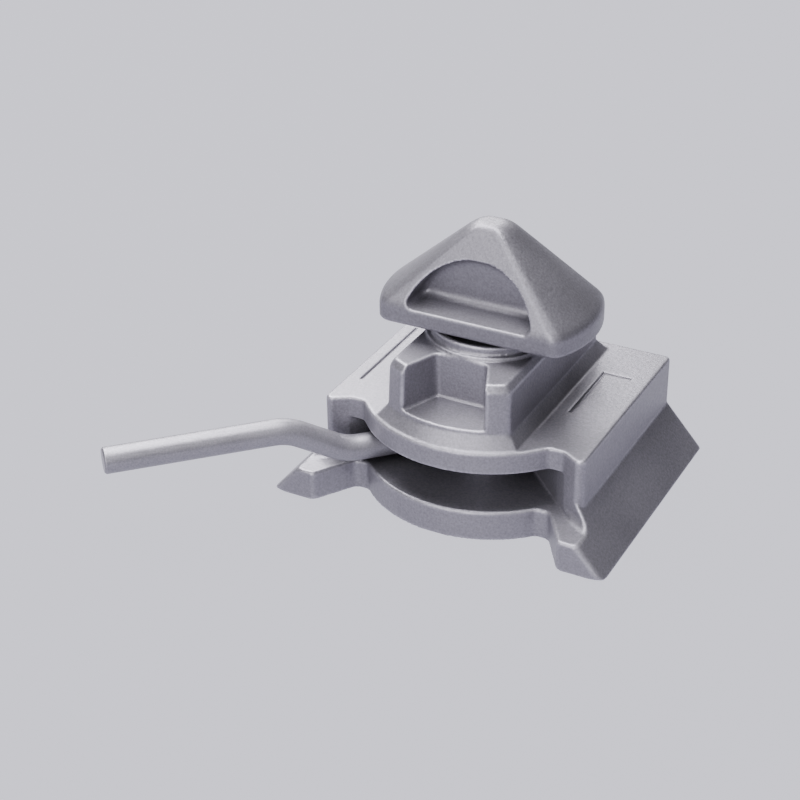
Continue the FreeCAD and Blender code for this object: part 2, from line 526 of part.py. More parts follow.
# Locking cone: forged head with neck and shank in one piece
def head_section(body, name, level, half_width, radius, corner):
    """Level cut through the head: straight flanks, round ends and bevelled corners between them."""
    flank_x = f"sqrt(pow({radius} - {corner}; 2) - pow({half_width} - {corner}; 2))"
    end_y = f"(({half_width} - {corner}) * ({radius}) / ({radius} - {corner}))"
    fx, w, r, ey = value(flank_x), value(half_width), value(radius), value(end_y)
    ex = math.sqrt(r * r - ey * ey)
    swing = math.asin(ey / r)
    sketch = sketch_on(body, name, "XY_Plane", level)
    ring = Part.Circle(FreeCAD.Vector(0, 0, 0), FreeCAD.Vector(0, 0, 1), r)
    points = [FreeCAD.Vector(x, y, 0) for x, y in ((-fx, -w), (fx, -w), (ex, -ey), (ex, ey),
                                                   (fx, w), (-fx, w), (-ex, ey), (-ex, -ey))]
    curves = [Part.LineSegment(here, there) for here, there in zip(points, points[1:] + points[:1])]
    curves[2] = Part.ArcOfCircle(ring, -swing, swing)
    curves[6] = Part.ArcOfCircle(ring, math.pi - swing, math.pi + swing)
    for curve in curves:
        sketch.addGeometry(curve, False)
    for here in range(8):
        sketch.addConstraint(Sketcher.Constraint("Coincident", here, 2, (here + 1) % 8, 1))
    for flank, side in ((0, -1), (4, 1)):
        for end, x_side in ((1, side), (2, -side)):
            pin_point(sketch, flank, end, "X", f"{x_side} * {flank_x}")
            pin_point(sketch, flank, end, "Y", f"{side} * ({half_width})")
    for end_arc, side in ((2, 1), (6, -1)):
        sketch.addConstraint(Sketcher.Constraint("Coincident", end_arc, 3, -1, 1))
        index = sketch.addConstraint(Sketcher.Constraint("Radius", end_arc, r))
        sketch.setExpression(f"Constraints[{index}]", radius)
        pin_point(sketch, end_arc, 1, "Y", f"{-side} * {end_y}")
        pin_point(sketch, end_arc, 2, "Y", f"{side} * {end_y}")
    return sketch


def blended_step(sketch, radius, floor, top, blend):
    """Half section of a round hollow: flat floor, blend in two facets and upright wall."""
    share = f"{1 - math.sqrt(0.5):.4f}"
    polygon(sketch, [("0", floor), (f"{radius} - {blend}", floor),
                     (f"{radius} - {share} * {blend}", f"{floor} + {share} * {blend}"),
                     (radius, f"{floor} + {blend}"), (radius, top), ("0", top)])


SLOPE_HEIGHT = "(Sizes.head_height - Sizes.head_band)"
LENGTH_SLOPE = f"((Sizes.head_half_length - Sizes.head_tip_half_length) / {SLOPE_HEIGHT})"
WIDTH_SLOPE = f"((Sizes.head_half_width - Sizes.head_tip_half_width) / {SLOPE_HEIGHT})"
ROUNDING_STEPS = 2


def shoulder_section(step):
    """Level, half width and end radius on the curve from the band into the slopes."""
    share = step / ROUNDING_STEPS
    run = f"{share ** 2} * Sizes.shoulder_above"
    return (f"{BAND_TOP} - {(1 - share) ** 2} * Sizes.shoulder_below + {run}",
            f"Sizes.head_half_width - {run} * {WIDTH_SLOPE}",
            f"Sizes.head_half_length - {run} * {LENGTH_SLOPE}",
            "Sizes.ridge_round")


def tip_section(step):
    """Level, half width and end radius on the curve from the slopes over the tip."""
    share = step / ROUNDING_STEPS
    drop = f"{(1 - share) ** 2} * Sizes.tip_below"
    inwards = f"{share ** 2} * Sizes.tip_inwards"
    return (f"{HEAD_TIP} - {drop}",
            f"Sizes.head_tip_half_width + {drop} * {WIDTH_SLOPE} - {inwards}",
            f"Sizes.head_tip_half_length + {drop} * {LENGTH_SLOPE} - {inwards}",
            "Sizes.ridge_tip_round")


cone = new_body("locking_cone")
head_levels = [("Sizes.head_underside", "Sizes.head_half_width - Sizes.head_rim_bevel",
                "Sizes.head_half_length - Sizes.head_rim_bevel", "Sizes.ridge_round"),
               ("Sizes.head_underside + Sizes.head_rim_bevel", "Sizes.head_half_width",
                "Sizes.head_half_length", "Sizes.ridge_round")]
head_levels += [shoulder_section(step) for step in range(ROUNDING_STEPS + 1)]
head_levels += [tip_section(step) for step in range(ROUNDING_STEPS + 1)]
head_sections = [head_section(cone, f"head_section_{number}", *level)
                 for number, level in enumerate(head_levels, start=1)]
head = cone.newObject("PartDesign::AdditiveLoft", "head")
head.Profile = head_sections[0]
head.Sections = head_sections[1:]
head.Ruled = True
doc.recompute()


def outside_slope(half_size, tip_half_size):
    """Corners of the room outside one slope, from the band up to the tip."""
    outside = f"({half_size} + {CUT_MARGIN})"
    return [(f"({half_size} - Sizes.slope_trim)", BAND_TOP),
            (f"({tip_half_size} - Sizes.slope_trim)", HEAD_TIP), (outside, HEAD_TIP), (outside, BAND_TOP)]


# The forged slopes are trimmed to true planes along the flanks and to a true cone at the ends
flank_room = outside_slope("Sizes.head_half_width", "Sizes.head_tip_half_width")
for side, room in (("right", flank_room), ("left", [(f"-{y}", z) for y, z in flank_room])):
    section = sketch_on(cone, f"{side}_flank_trim_section", "YZ_Plane")
    polygon(section, room)
    extrude(cone, "Pocket", f"{side}_flank_trim", section,
            f"2 * (Sizes.head_half_length + {CUT_MARGIN})", middle=True)
end_trim = sketch_on(cone, "end_trim_section", "XZ_Plane")
polygon(end_trim, outside_slope("Sizes.head_half_length", "Sizes.head_tip_half_length"))
turn(cone, "Groove", "end_trim", end_trim)

for lift, name in (("Sizes.scoop_centre", "front"), ("-Sizes.scoop_centre", "back")):
    scoop = sketch_on(cone, f"{name}_scoop_section", "XZ_Plane", lift)
    blended_step(scoop, "Sizes.scoop_radius", "Sizes.scoop_floor", f"{HEAD_TIP} + {CUT_MARGIN}",
                  "Sizes.scoop_round")
    turn(cone, "Groove", f"{name}_scoop", scoop)

neck = sketch_on(cone, "neck_outline", "XY_Plane", HUB_TOP)
circle(neck, "0", "0", "Sizes.neck_radius")
extrude(cone, "Pad", "neck", neck, f"Sizes.head_underside - {HUB_TOP}")
shank = sketch_on(cone, "shank_outline", "XY_Plane", "Sizes.shank_end")
circle(shank, "0", "0", "Sizes.shank_radius")
extrude(cone, "Pad", "shank", shank, f"{HUB_TOP} - Sizes.shank_end")
cross_hole = sketch_on(cone, "cross_hole_outline", "YZ_Plane")
towards_handle = FreeCAD.Rotation(FreeCAD.Vector(0, 1, 0), 45)
cross_hole.AttachmentOffset = FreeCAD.Placement(FreeCAD.Vector(), towards_handle)
circle(cross_hole, "0", "Sizes.handle_height", "Sizes.handle_radius + Sizes.handle_fit")
extrude(cone, "Pocket", "cross_hole", cross_hole, f"2 * Sizes.shank_radius + {CUT_MARGIN}", middle=True)


def swing_with_handle(body):
    """Turn a piece that was drawn with the handle along +X into the locked position."""
    body.Placement = FreeCAD.Placement(FreeCAD.Vector(), FreeCAD.Rotation(FreeCAD.Vector(0, 0, 1), 225))


# Hub: round nut on the shank, carries the cone's pull to the deck and holds the handle
hub = new_body("spindle_hub")
hub_ring = sketch_on(hub, "hub_outline", "XY_Plane", HUB_BOTTOM)
circle(hub_ring, "0", "0", "Sizes.hub_radius")
circle(hub_ring, "0", "0", "Sizes.shank_radius + Sizes.hub_fit")
HUB_HEIGHT = f"({HUB_TOP} - {HUB_BOTTOM})"
extrude(hub, "Pad", "hub_disc", hub_ring, HUB_HEIGHT)
bar_hole = sketch_on(hub, "bar_hole_outline", "YZ_Plane")
circle(bar_hole, "0", "Sizes.handle_height", "Sizes.handle_radius + Sizes.handle_fit")
extrude(hub, "Pocket", "bar_hole", bar_hole, f"2 * Sizes.hub_radius + {CUT_MARGIN}", middle=True)
pin_hole = sketch_on(hub, "pin_hole_outline", "XY_Plane", HUB_BOTTOM)
circle(pin_hole, "Sizes.pin_offset", "0", "Sizes.pin_radius + Sizes.pin_fit")
extrude(hub, "Pocket", "pin_hole", pin_hole, HUB_HEIGHT, reverse=True)
track = sketch_on(hub, "ball_track_section", "XZ_Plane")
rectangle(track, "-(Sizes.ball_offset + Sizes.track_half_width)",
          "-(Sizes.ball_offset - Sizes.track_half_width)",
          HUB_BOTTOM, f"{HUB_BOTTOM} + Sizes.track_depth")
ball_track = turn(hub, "Groove", "ball_track", track, angle="90")
ball_track.Midplane = True
doc.recompute()
for side, name in ((1, "locked"), (-1, "unlocked")):
    rest = sketch_on(hub, f"{name}_rest_outline", "XY_Plane", HUB_BOTTOM)
    circle(rest, "-Sizes.ball_offset / sqrt(2)", f"{side} * Sizes.ball_offset / sqrt(2)",
           "Sizes.ball_radius + Sizes.ball_clearance")
    extrude(hub, "Pocket", f"{name}_rest", rest, "Sizes.track_depth + Sizes.pocket_extra", reverse=True)
swing_with_handle(hub)

# Thrust washer between hub and deck
washer = new_body("thrust_washer")
washer_ring = sketch_on(washer, "washer_outline", "XY_Plane", f"{SLOT_ROOF} - Sizes.washer_thickness")
circle(washer_ring, "0", "0", "Sizes.hub_radius")
circle(washer_ring, "0", "0", "Sizes.neck_radius + Sizes.washer_clearance")
extrude(washer, "Pad", "washer_disc", washer_ring, "Sizes.washer_thickness")

# Handle: round bar with two bends, pushed through hub and shank
handle = new_body("handle")
route = sketch_on(handle, "bar_route", "XZ_Plane")


def bent_route(sketch, corners, radius):
    """Route of straight runs joined by tangent arcs; corners are (x, y) expressions."""
    points = [FreeCAD.Vector(value(x), value(y), 0) for x, y in corners]
    size = value(radius)
    start = points[0]
    curves = []
    for before, corner, after in zip(points, points[1:], points[2:]):
        back_along = (before - corner).normalize()
        on_along = (after - corner).normalize()
        tangent_length = size / math.tan(back_along.getAngle(on_along) / 2)
        enter = corner + back_along * tangent_length
        leave = corner + on_along * tangent_length
        towards = (back_along + on_along).normalize()
        centre = corner + towards * math.hypot(size, tangent_length)
        middle = centre - towards * size
        curves.append(Part.LineSegment(start, enter))
        curves.append(Part.Arc(enter, middle, leave))
        start = leave
    curves.append(Part.LineSegment(start, points[-1]))
    return [sketch.addGeometry(curve, False) for curve in curves]


ROUTE = [("-Sizes.handle_inner_end", "Sizes.handle_height"),
         ("Sizes.handle_first_bend", "Sizes.handle_height"),
         ("Sizes.handle_second_bend", "Sizes.handle_outer_height"),
         ("Sizes.handle_reach", "Sizes.handle_outer_height")]
inner_run, first_bend, rise, second_bend, outer_run = bent_route(route, ROUTE, "Sizes.handle_bend_radius")
rise_ends = [FreeCAD.Vector(value(x), value(y), 0) for x, y in ROUTE[1:3]]
guide = route.addGeometry(Part.LineSegment(*rise_ends), True)
for end, corner in ((1, ROUTE[1]), (2, ROUTE[2])):
    pin_point(route, guide, end, "X", corner[0])
    pin_point(route, guide, end, "Y", corner[1])
# An arc that bends left runs with its own sense, one that bends right against it
for before, bend, after in ((inner_run, first_bend, rise), (rise, second_bend, outer_run)):
    for line, line_end in ((before, 2), (after, 1)):
        touching = route.getPoint(line, line_end)
        bend_end = 1 if (route.getPoint(bend, 1) - touching).Length < 0.01 else 2
        route.addConstraint(Sketcher.Constraint("Tangent", line, line_end, bend, bend_end))
    index = route.addConstraint(Sketcher.Constraint("Radius", bend, value("Sizes.handle_bend_radius")))
    route.setExpression(f"Constraints[{index}]", "Sizes.handle_bend_radius")
route.addConstraint(Sketcher.Constraint("Horizontal", inner_run))
route.addConstraint(Sketcher.Constraint("Horizontal", outer_run))
pin_point(route, inner_run, 1, "X", ROUTE[0][0])
pin_point(route, inner_run, 1, "Y", ROUTE[0][1])
pin_point(route, outer_run, 2, "X", ROUTE[3][0])
pin_point(route, outer_run, 2, "Y", ROUTE[3][1])
route.addConstraint(Sketcher.Constraint("PointOnObject", rise, 1, guide))
route.addConstraint(Sketcher.Constraint("PointOnObject", rise, 2, guide))
bar_section = sketch_on(handle, "bar_section", "YZ_Plane", ROUTE[0][0])
circle(bar_section, "0", "Sizes.handle_height", "Sizes.handle_radius")
doc.recompute()
bar = handle.newObject("PartDesign::AdditivePipe", "bar")
bar.Profile = bar_section
bar.Spine = (route, [])
doc.recompute()
bar_end = value("Sizes.handle_reach")
dress(handle, "Chamfer", "bar_end_chamfer", bar,
      edges_where(bar, lambda edge: edge.BoundBox.XMin > bar_end - 0.01), "Sizes.handle_chamfer")
bar_pin_hole = sketch_on(handle, "bar_pin_hole_outline", "XY_Plane")
circle(bar_pin_hole, "Sizes.pin_offset", "0", "Sizes.pin_radius + Sizes.pin_fit")
extrude(handle, "Pocket", "bar_pin_hole", bar_pin_hole,
        f"Sizes.handle_height + Sizes.handle_radius + {CUT_MARGIN}", reverse=True)
swing_with_handle(handle)

# Roll pin through hub and bar
pin = new_body("handle_pin")
pin_ring = sketch_on(pin, "pin_outline", "XY_Plane", f"{HUB_BOTTOM} + Sizes.pin_recess")
circle(pin_ring, "Sizes.pin_offset", "0", "Sizes.pin_radius")
circle(pin_ring, "Sizes.pin_offset", "0", "Sizes.pin_bore_radius")
extrude(pin, "Pad", "pin_tube", pin_ring, f"{HUB_HEIGHT} - 2 * Sizes.pin_recess")
slit = sketch_on(pin, "pin_slit_outline", "XY_Plane", f"{HUB_BOTTOM}")
rectangle(slit, "Sizes.pin_offset", f"Sizes.pin_offset + Sizes.pin_radius + {CUT_MARGIN}",
          "-Sizes.pin_slit / 2", "Sizes.pin_slit / 2")
extrude(pin, "Pocket", "pin_slit", slit, HUB_HEIGHT, reverse=True)
swing_with_handle(pin)

# Detent: ball, spring and screw plug in the base plate behind the spindle
ball = doc.addObject("Part::Sphere", "detent_ball")
ball.Label = "detent_ball"
ball.setExpression("Radius", "Sizes.ball_radius")
BALL_CENTRE = f"({BALL_TOP} - Sizes.ball_radius)"
ball.setExpression("Placement.Base.y", "Sizes.ball_offset")
ball.setExpression("Placement.Base.z", BALL_CENTRE)

COIL_RADIUS = f"({BALL_BORE} - Sizes.spring_clearance - Sizes.spring_wire / 2)"
COIL_BOTTOM = f"({PLUG_TOP} + Sizes.spring_wire / 2)"
TOUCH = "(Sizes.ball_radius + Sizes.spring_wire / 2)"
COIL_TOP = (f"({BALL_CENTRE} - sqrt({TOUCH} * {TOUCH} - {COIL_RADIUS} * {COIL_RADIUS}) - "
            "Sizes.spring_wire / 8)")
coil = doc.addObject("Part::Helix", "spring_coil")
coil.setExpression("Radius", COIL_RADIUS)
coil.setExpression("Height", f"{COIL_TOP} - {COIL_BOTTOM}")
coil.setExpression("Pitch", f"({COIL_TOP} - {COIL_BOTTOM}) / Sizes.spring_turns")
wire = doc.addObject("Part::RegularPolygon", "spring_wire_section")
wire.Polygon = 4
wire.setExpression("Circumradius", "Sizes.spring_wire / 2")
wire.Placement = FreeCAD.Placement(FreeCAD.Vector(), FreeCAD.Rotation(FreeCAD.Vector(1, 0, 0), 90))
wire.setExpression("Placement.Base.x", COIL_RADIUS)
spring = doc.addObject("Part::Sweep", "detent_spring")
spring.Label = "detent_spring"
spring.Sections = [wire]
spring.Spine = (coil, [])
spring.Solid = True
spring.Frenet = True
spring.setExpression("Placement.Base.y", "Sizes.ball_offset")
spring.setExpression("Placement.Base.z", COIL_BOTTOM)

plug = new_body("detent_plug")
plug_round = sketch_on(plug, "plug_outline", "XY_Plane", "Sizes.plug_recess")
circle(plug_round, "0", "Sizes.ball_offset", "Sizes.plug_radius")
extrude(plug, "Pad", "plug_disc", plug_round, "Sizes.plug_height")
socket = sketch_on(plug, "plug_socket_outline", "XY_Plane", "Sizes.plug_recess")
ACROSS_CORNERS = "(Sizes.hexagon_flats / cos(30))"
polygon(socket, [(f"{ACROSS_CORNERS} / 2 * cos({60 * corner + 30})",
                  f"Sizes.ball_offset + {ACROSS_CORNERS} / 2 * sin({60 * corner + 30})")
                 for corner in range(6)])
extrude(plug, "Pocket", "plug_socket", socket, "Sizes.hexagon_depth", reverse=True)
doc.recompute()

# Checks and export: one STEP file for each piece
pieces = [housing, cone, hub, washer, handle, pin, ball, spring, plug]
for item in doc.Objects:
    if "Invalid" in item.State or "Error" in item.State:
        raise RuntimeError(f"{item.Name} is {item.State}")
os.makedirs("parts", exist_ok=True)
for piece in pieces:
    shape = piece.Shape
    if shape.isNull() or not shape.isValid() or not shape.Solids:
        raise RuntimeError(f"{piece.Label} has no valid solid")
    shape.exportStep(f"parts/{piece.Label}.step")
    print(f"{piece.Label}: {len(shape.Solids)} solid, {shape.Volume:.0f} mm3")
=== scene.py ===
"""Container twistlock: cast housing, forged locking cone and bent lever, dressed for the camera.

Metres, in the frame of the solids: origin where the spindle's axis meets the underside.
"""
import json
import math

import bmesh
import bpy
from mathutils import Matrix, Vector
from mathutils.geometry import intersect_point_line

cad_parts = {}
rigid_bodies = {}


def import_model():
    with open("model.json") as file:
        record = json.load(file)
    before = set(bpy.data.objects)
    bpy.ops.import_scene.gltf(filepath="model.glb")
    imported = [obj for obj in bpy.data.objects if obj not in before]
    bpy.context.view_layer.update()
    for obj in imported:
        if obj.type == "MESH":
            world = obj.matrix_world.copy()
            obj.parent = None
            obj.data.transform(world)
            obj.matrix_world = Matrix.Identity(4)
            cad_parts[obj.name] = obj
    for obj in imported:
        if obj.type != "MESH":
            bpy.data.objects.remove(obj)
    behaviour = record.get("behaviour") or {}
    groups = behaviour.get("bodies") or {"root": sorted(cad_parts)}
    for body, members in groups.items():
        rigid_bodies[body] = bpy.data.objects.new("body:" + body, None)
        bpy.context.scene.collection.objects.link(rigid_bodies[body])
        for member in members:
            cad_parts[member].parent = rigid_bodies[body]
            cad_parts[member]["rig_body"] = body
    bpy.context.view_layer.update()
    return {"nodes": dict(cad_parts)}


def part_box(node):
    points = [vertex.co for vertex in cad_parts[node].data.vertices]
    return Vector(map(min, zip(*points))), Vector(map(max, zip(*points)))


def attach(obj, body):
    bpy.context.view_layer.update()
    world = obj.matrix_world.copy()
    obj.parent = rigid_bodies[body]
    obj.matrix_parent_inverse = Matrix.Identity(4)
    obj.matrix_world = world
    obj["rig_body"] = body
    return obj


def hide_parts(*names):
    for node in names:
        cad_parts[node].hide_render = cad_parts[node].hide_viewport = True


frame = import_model()
scene = bpy.context.scene

# Camera, fitted to the photograph's outlines: its angles, its shift across the view and its distance
AZIMUTH = math.radians(28.224)
ELEVATION = math.radians(30.177)
ROLL = math.radians(-0.751)
AIM_RIGHT = -0.043473
AIM_UP = 0.033696
DISTANCE = 0.873261
LENS = 80.518
SENSOR_WIDTH = 36
NEAREST_SEEN = 0.05
FARTHEST_SEEN = 20


def aim_camera():
    """Camera that sees the part as the photograph does."""
    back = Vector((math.sin(AZIMUTH) * math.cos(ELEVATION),
                   -math.cos(AZIMUTH) * math.cos(ELEVATION), math.sin(ELEVATION)))
    level = Vector((math.cos(AZIMUTH), math.sin(AZIMUTH), 0))
    upright = back.cross(level)
    right = level * math.cos(ROLL) + upright * math.sin(ROLL)
    up = upright * math.cos(ROLL) - level * math.sin(ROLL)
    place = right * AIM_RIGHT + up * AIM_UP + back * DISTANCE
    turned = Matrix((right, up, back)).transposed().to_4x4()
    camera = bpy.data.cameras.new("camera")
    camera.sensor_width = SENSOR_WIDTH
    camera.lens = LENS
    camera.clip_start = NEAREST_SEEN
    camera.clip_end = FARTHEST_SEEN
    holder = bpy.data.objects.new("camera", camera)
    holder.matrix_world = Matrix.Translation(place) @ turned
    scene.collection.objects.link(holder)
    scene.camera = holder


# Shader building blocks
def add_node(tree, kind, **settings):
    """New node; a setting named in_X goes to its input X, by name or by number."""
    node = tree.nodes.new(kind)
    for name, setting in settings.items():
        if name.startswith("in_"):
            key = name[3:]
            node.inputs[int(key) if key.isdigit() else key.replace("_", " ")].default_value = setting
        else:
            setattr(node, name, setting)
    return node


def noise(tree, where, scale, detail, roughness=0.5):
    """Values of a noise pattern at these coordinates."""
    texture = add_node(tree, "ShaderNodeTexNoise", in_Scale=scale, in_Detail=detail,
                       in_Roughness=roughness)
    tree.links.new(where, texture.inputs["Vector"])
    return texture.outputs["Fac"]


def remap(tree, what, low, high, to_low=0.0, to_high=1.0):
    """Value carried from one range to another and kept inside it."""
    ramp = add_node(tree, "ShaderNodeMapRange", clamp=True, in_1=low, in_2=high, in_3=to_low, in_4=to_high)
    tree.links.new(what, ramp.inputs[0])
    return ramp.outputs[0]


def combine(tree, operation, first, second):
    """Result of a sum or comparison between two sockets, or a socket and a number."""
    node = add_node(tree, "ShaderNodeMath", operation=operation)
    for socket, source in zip(node.inputs, (first, second)):
        if isinstance(source, (int, float)):
            socket.default_value = source
        else:
            tree.links.new(source, socket)
    return node.outputs[0]


def new_group(name, inputs, outputs):
    """Shader group with these named sockets; returns it with its input and output nodes."""
    group = bpy.data.node_groups.new(name, "ShaderNodeTree")
    for label, kind, default in inputs:
        socket = group.interface.new_socket(label, in_out="INPUT", socket_type=kind)
        if default is not None:
            socket.default_value = default
    for label, kind in outputs:
        group.interface.new_socket(label, in_out="OUTPUT", socket_type=kind)
    return group, group.nodes.new("NodeGroupInput"), group.nodes.new("NodeGroupOutput")


# Scales of the noise patterns on Object coordinates in metres
CASTING_WAVES = 70.0
ZINC_PATCHES = 22.0
# Breaks up the painted edge highlight
HIGHLIGHT_BREAKS = 160.0
# Patches in the painted shade of the handle slot
SLOT_SHADE_PATCHES = 120.0
# Nearly all of a noise pattern's values lie between these two
NOISE_LOW = 0.3
NOISE_HIGH = 0.7
# Openness at which the painted shade starts in a hollow, and at which it is full
PAINTED_SHADE_START = 0.38
PAINTED_SHADE_FULL = 0.08
# Width over which the painted shade of the handle slot fades out at its rim
SLOT_SHADE_FADE = 0.0012


def build_blasted_skin():
    """Fine blasting grain, soft casting waves and slow zinc mottling, with a height for the bump."""
    group, given, result = new_group(
        "blasted_skin",
        [("Place", "NodeSocketVector", None), ("Grain Scale", "NodeSocketFloat", 900.0),
         ("Wave Depth", "NodeSocketFloat", 0.4), ("Mottling", "NodeSocketFloat", 0.06),
         ("Speckle", "NodeSocketFloat", 0.3)],
        [("Height", "NodeSocketFloat"), ("Tone", "NodeSocketFloat"),
         ("Roughness Shift", "NodeSocketFloat")])
    place = given.outputs["Place"]
    grain = add_node(group, "ShaderNodeTexNoise", in_Detail=3.0, in_Roughness=0.65)
    group.links.new(place, grain.inputs["Vector"])
    group.links.new(given.outputs["Grain Scale"], grain.inputs["Scale"])
    pits = add_node(group, "ShaderNodeTexVoronoi", feature="SMOOTH_F1", in_Smoothness=0.6)
    group.links.new(place, pits.inputs["Vector"])
    half_scale = combine(group, "MULTIPLY", given.outputs["Grain Scale"], 0.55)
    group.links.new(half_scale, pits.inputs["Scale"])
    waves = noise(group, place, CASTING_WAVES, detail=3.0)
    slow = noise(group, place, ZINC_PATCHES, detail=4.0, roughness=0.6)
    fine = combine(group, "ADD", combine(group, "MULTIPLY", grain.outputs["Fac"], 0.6),
                   combine(group, "MULTIPLY", pits.outputs["Distance"], 0.5))
    wavy = combine(group, "MULTIPLY", waves, given.outputs["Wave Depth"])
    group.links.new(combine(group, "ADD", fine, wavy), result.inputs["Height"])
    patches = combine(group, "MULTIPLY", remap(group, slow, NOISE_LOW, NOISE_HIGH, -1.0, 1.0),
                      given.outputs["Mottling"])
    spread = remap(group, grain.outputs["Fac"], NOISE_LOW, NOISE_HIGH, -0.5, 0.5)
    speckle = combine(group, "MULTIPLY", spread, given.outputs["Speckle"])
    tone = combine(group, "ADD", 1.0, combine(group, "ADD", patches, speckle))
    group.links.new(tone, result.inputs["Tone"])
    shift = remap(group, slow, NOISE_LOW, NOISE_HIGH, -0.06, 0.06)
    group.links.new(shift, result.inputs["Roughness Shift"])
    return group


def build_painted_light_masks():
    """Masks of painted light: a painted highlight on the convex edges, broken up by noise, and painted
    shade in the hollows, from ambient occlusion.
    """
    group, given, result = new_group(
        "painted_light_masks",
        [("Place", "NodeSocketVector", None), ("Start", "NodeSocketFloat", 0.505),
         ("Full", "NodeSocketFloat", 0.55), ("Reach", "NodeSocketFloat", 0.026)],
        [("Painted Highlight", "NodeSocketFloat"), ("Painted Shade", "NodeSocketFloat")])
    # Painted highlight on convex edges, from pointiness
    shape = group.nodes.new("ShaderNodeNewGeometry")
    ramp = add_node(group, "ShaderNodeMapRange", clamp=True)
    group.links.new(shape.outputs["Pointiness"], ramp.inputs[0])
    group.links.new(given.outputs["Start"], ramp.inputs[1])
    group.links.new(given.outputs["Full"], ramp.inputs[2])
    breaks = noise(group, given.outputs["Place"], HIGHLIGHT_BREAKS, detail=3.0)
    broken = remap(group, breaks, 0.3, 0.6, 0.6, 1.0)
    group.links.new(combine(group, "MULTIPLY", ramp.outputs[0], broken), result.inputs["Painted Highlight"])
    # Painted shade in hollows, from ambient occlusion
    openness = add_node(group, "ShaderNodeAmbientOcclusion", samples=8)
    group.links.new(given.outputs["Reach"], openness.inputs["Distance"])
    hidden = remap(group, openness.outputs["AO"], PAINTED_SHADE_START, PAINTED_SHADE_FULL)
    group.links.new(hidden, result.inputs["Painted Shade"])
    return group


def build_painted_slot_shade():
    """Mask of the painted shade in the handle slot, between base plate and deck plate."""
    group, given, result = new_group(
        "painted_slot_shade",
        [("Place", "NodeSocketVector", None), ("Low", "NodeSocketFloat", 0.0145),
         ("High", "NodeSocketFloat", 0.0358), ("Reach", "NodeSocketFloat", 0.0602)],
        [("Slot Shade", "NodeSocketFloat")])
    parts = group.nodes.new("ShaderNodeSeparateXYZ")
    group.links.new(given.outputs["Place"], parts.inputs[0])
    level = parts.outputs["Z"]
    above = combine(group, "GREATER_THAN", level, given.outputs["Low"])
    below = combine(group, "LESS_THAN", level, given.outputs["High"])
    flat = add_node(group, "ShaderNodeVectorMath", operation="MULTIPLY")
    flat.inputs[1].default_value = (1, 1, 0)
    group.links.new(given.outputs["Place"], flat.inputs[0])
    radius = add_node(group, "ShaderNodeVectorMath", operation="LENGTH")
    group.links.new(flat.outputs["Vector"], radius.inputs[0])
    inside = combine(group, "SUBTRACT", given.outputs["Reach"], radius.outputs["Value"])
    fade = remap(group, inside, 0.0, SLOT_SHADE_FADE)
    slot_noise = noise(group, given.outputs["Place"], SLOT_SHADE_PATCHES, detail=3.0)
    patchy_shade = remap(group, slot_noise, NOISE_LOW, NOISE_HIGH, 0.82, 1.0)
    slot_shade_mask = combine(group, "MULTIPLY", combine(group, "MULTIPLY", above, below),
                   combine(group, "MULTIPLY", fade, patchy_shade))
    group.links.new(slot_shade_mask, result.inputs["Slot Shade"])
    return group


BLASTED_SKIN = build_blasted_skin()
PAINTED_LIGHT_MASKS = build_painted_light_masks()
PAINTED_SLOT_SHADE = build_painted_slot_shade()


# Brightening of the colour by the painted edge highlight, and the share of colour left in the painted
# shade of hollows
PAINTED_HIGHLIGHT_GAIN = 1.8
PAINTED_SHADE_SHARE = 0.25
GRAIN_DEPTH = 0.0003


def metal(name, colour, roughness, metallic, grain=900.0, bump=0.45, waves=0.4, mottling=0.06,
          speckle=0.36, slot_shade_strength=0.0):
    """Steel surface from the shared skin, a painted highlight on convex edges and painted shade in
    hollows, with this finish's own values; where asked, painted shade in the handle slot as well.
    """
    material = bpy.data.materials.new(name)
    material.use_nodes = True
    tree = material.node_tree
    surface = tree.nodes["Principled BSDF"]
    surface.inputs["Metallic"].default_value = metallic
    place = tree.nodes.new("ShaderNodeTexCoord").outputs["Object"]
    skin = add_node(tree, "ShaderNodeGroup", node_tree=BLASTED_SKIN, in_Grain_Scale=grain,
                    in_Wave_Depth=waves, in_Mottling=mottling, in_Speckle=speckle)
    light_paint = add_node(tree, "ShaderNodeGroup", node_tree=PAINTED_LIGHT_MASKS)
    tree.links.new(place, skin.inputs["Place"])
    tree.links.new(place, light_paint.inputs["Place"])
    toned = add_node(tree, "ShaderNodeVectorMath", operation="SCALE")
    toned.inputs[0].default_value = colour
    # Painted highlight on convex edges brightens the colour; painted shade in hollows darkens it
    gain = combine(tree, "MULTIPLY", light_paint.outputs["Painted Highlight"], PAINTED_HIGHLIGHT_GAIN - 1.0)
    loss = combine(tree, "MULTIPLY", light_paint.outputs["Painted Shade"], 1.0 - PAINTED_SHADE_SHARE)
    painted_light_factor = combine(tree, "SUBTRACT", combine(tree, "ADD", 1.0, gain), loss)
    # Painted shade in the handle slot, darker still
    if slot_shade_strength:
        slot_shade_mask = add_node(tree, "ShaderNodeGroup", node_tree=PAINTED_SLOT_SHADE)
        tree.links.new(place, slot_shade_mask.inputs["Place"])
        slot_darkening = combine(tree, "MULTIPLY", slot_shade_mask.outputs["Slot Shade"], slot_shade_strength)
        painted_light_factor = combine(tree, "MULTIPLY", painted_light_factor, combine(tree, "SUBTRACT", 1.0, slot_darkening))
    tree.links.new(combine(tree, "MULTIPLY", skin.outputs["Tone"], painted_light_factor), toned.inputs["Scale"])
    tree.links.new(toned.outputs["Vector"], surface.inputs["Base Color"])
    rough = combine(tree, "ADD", roughness, skin.outputs["Roughness Shift"])
    tree.links.new(rough, surface.inputs["Roughness"])
    relief = add_node(tree, "ShaderNodeBump", in_Strength=bump, in_Distance=GRAIN_DEPTH)
    tree.links.new(skin.outputs["Height"], relief.inputs["Height"])
    tree.links.new(relief.outputs["Normal"], surface.inputs["Normal"])
    return material


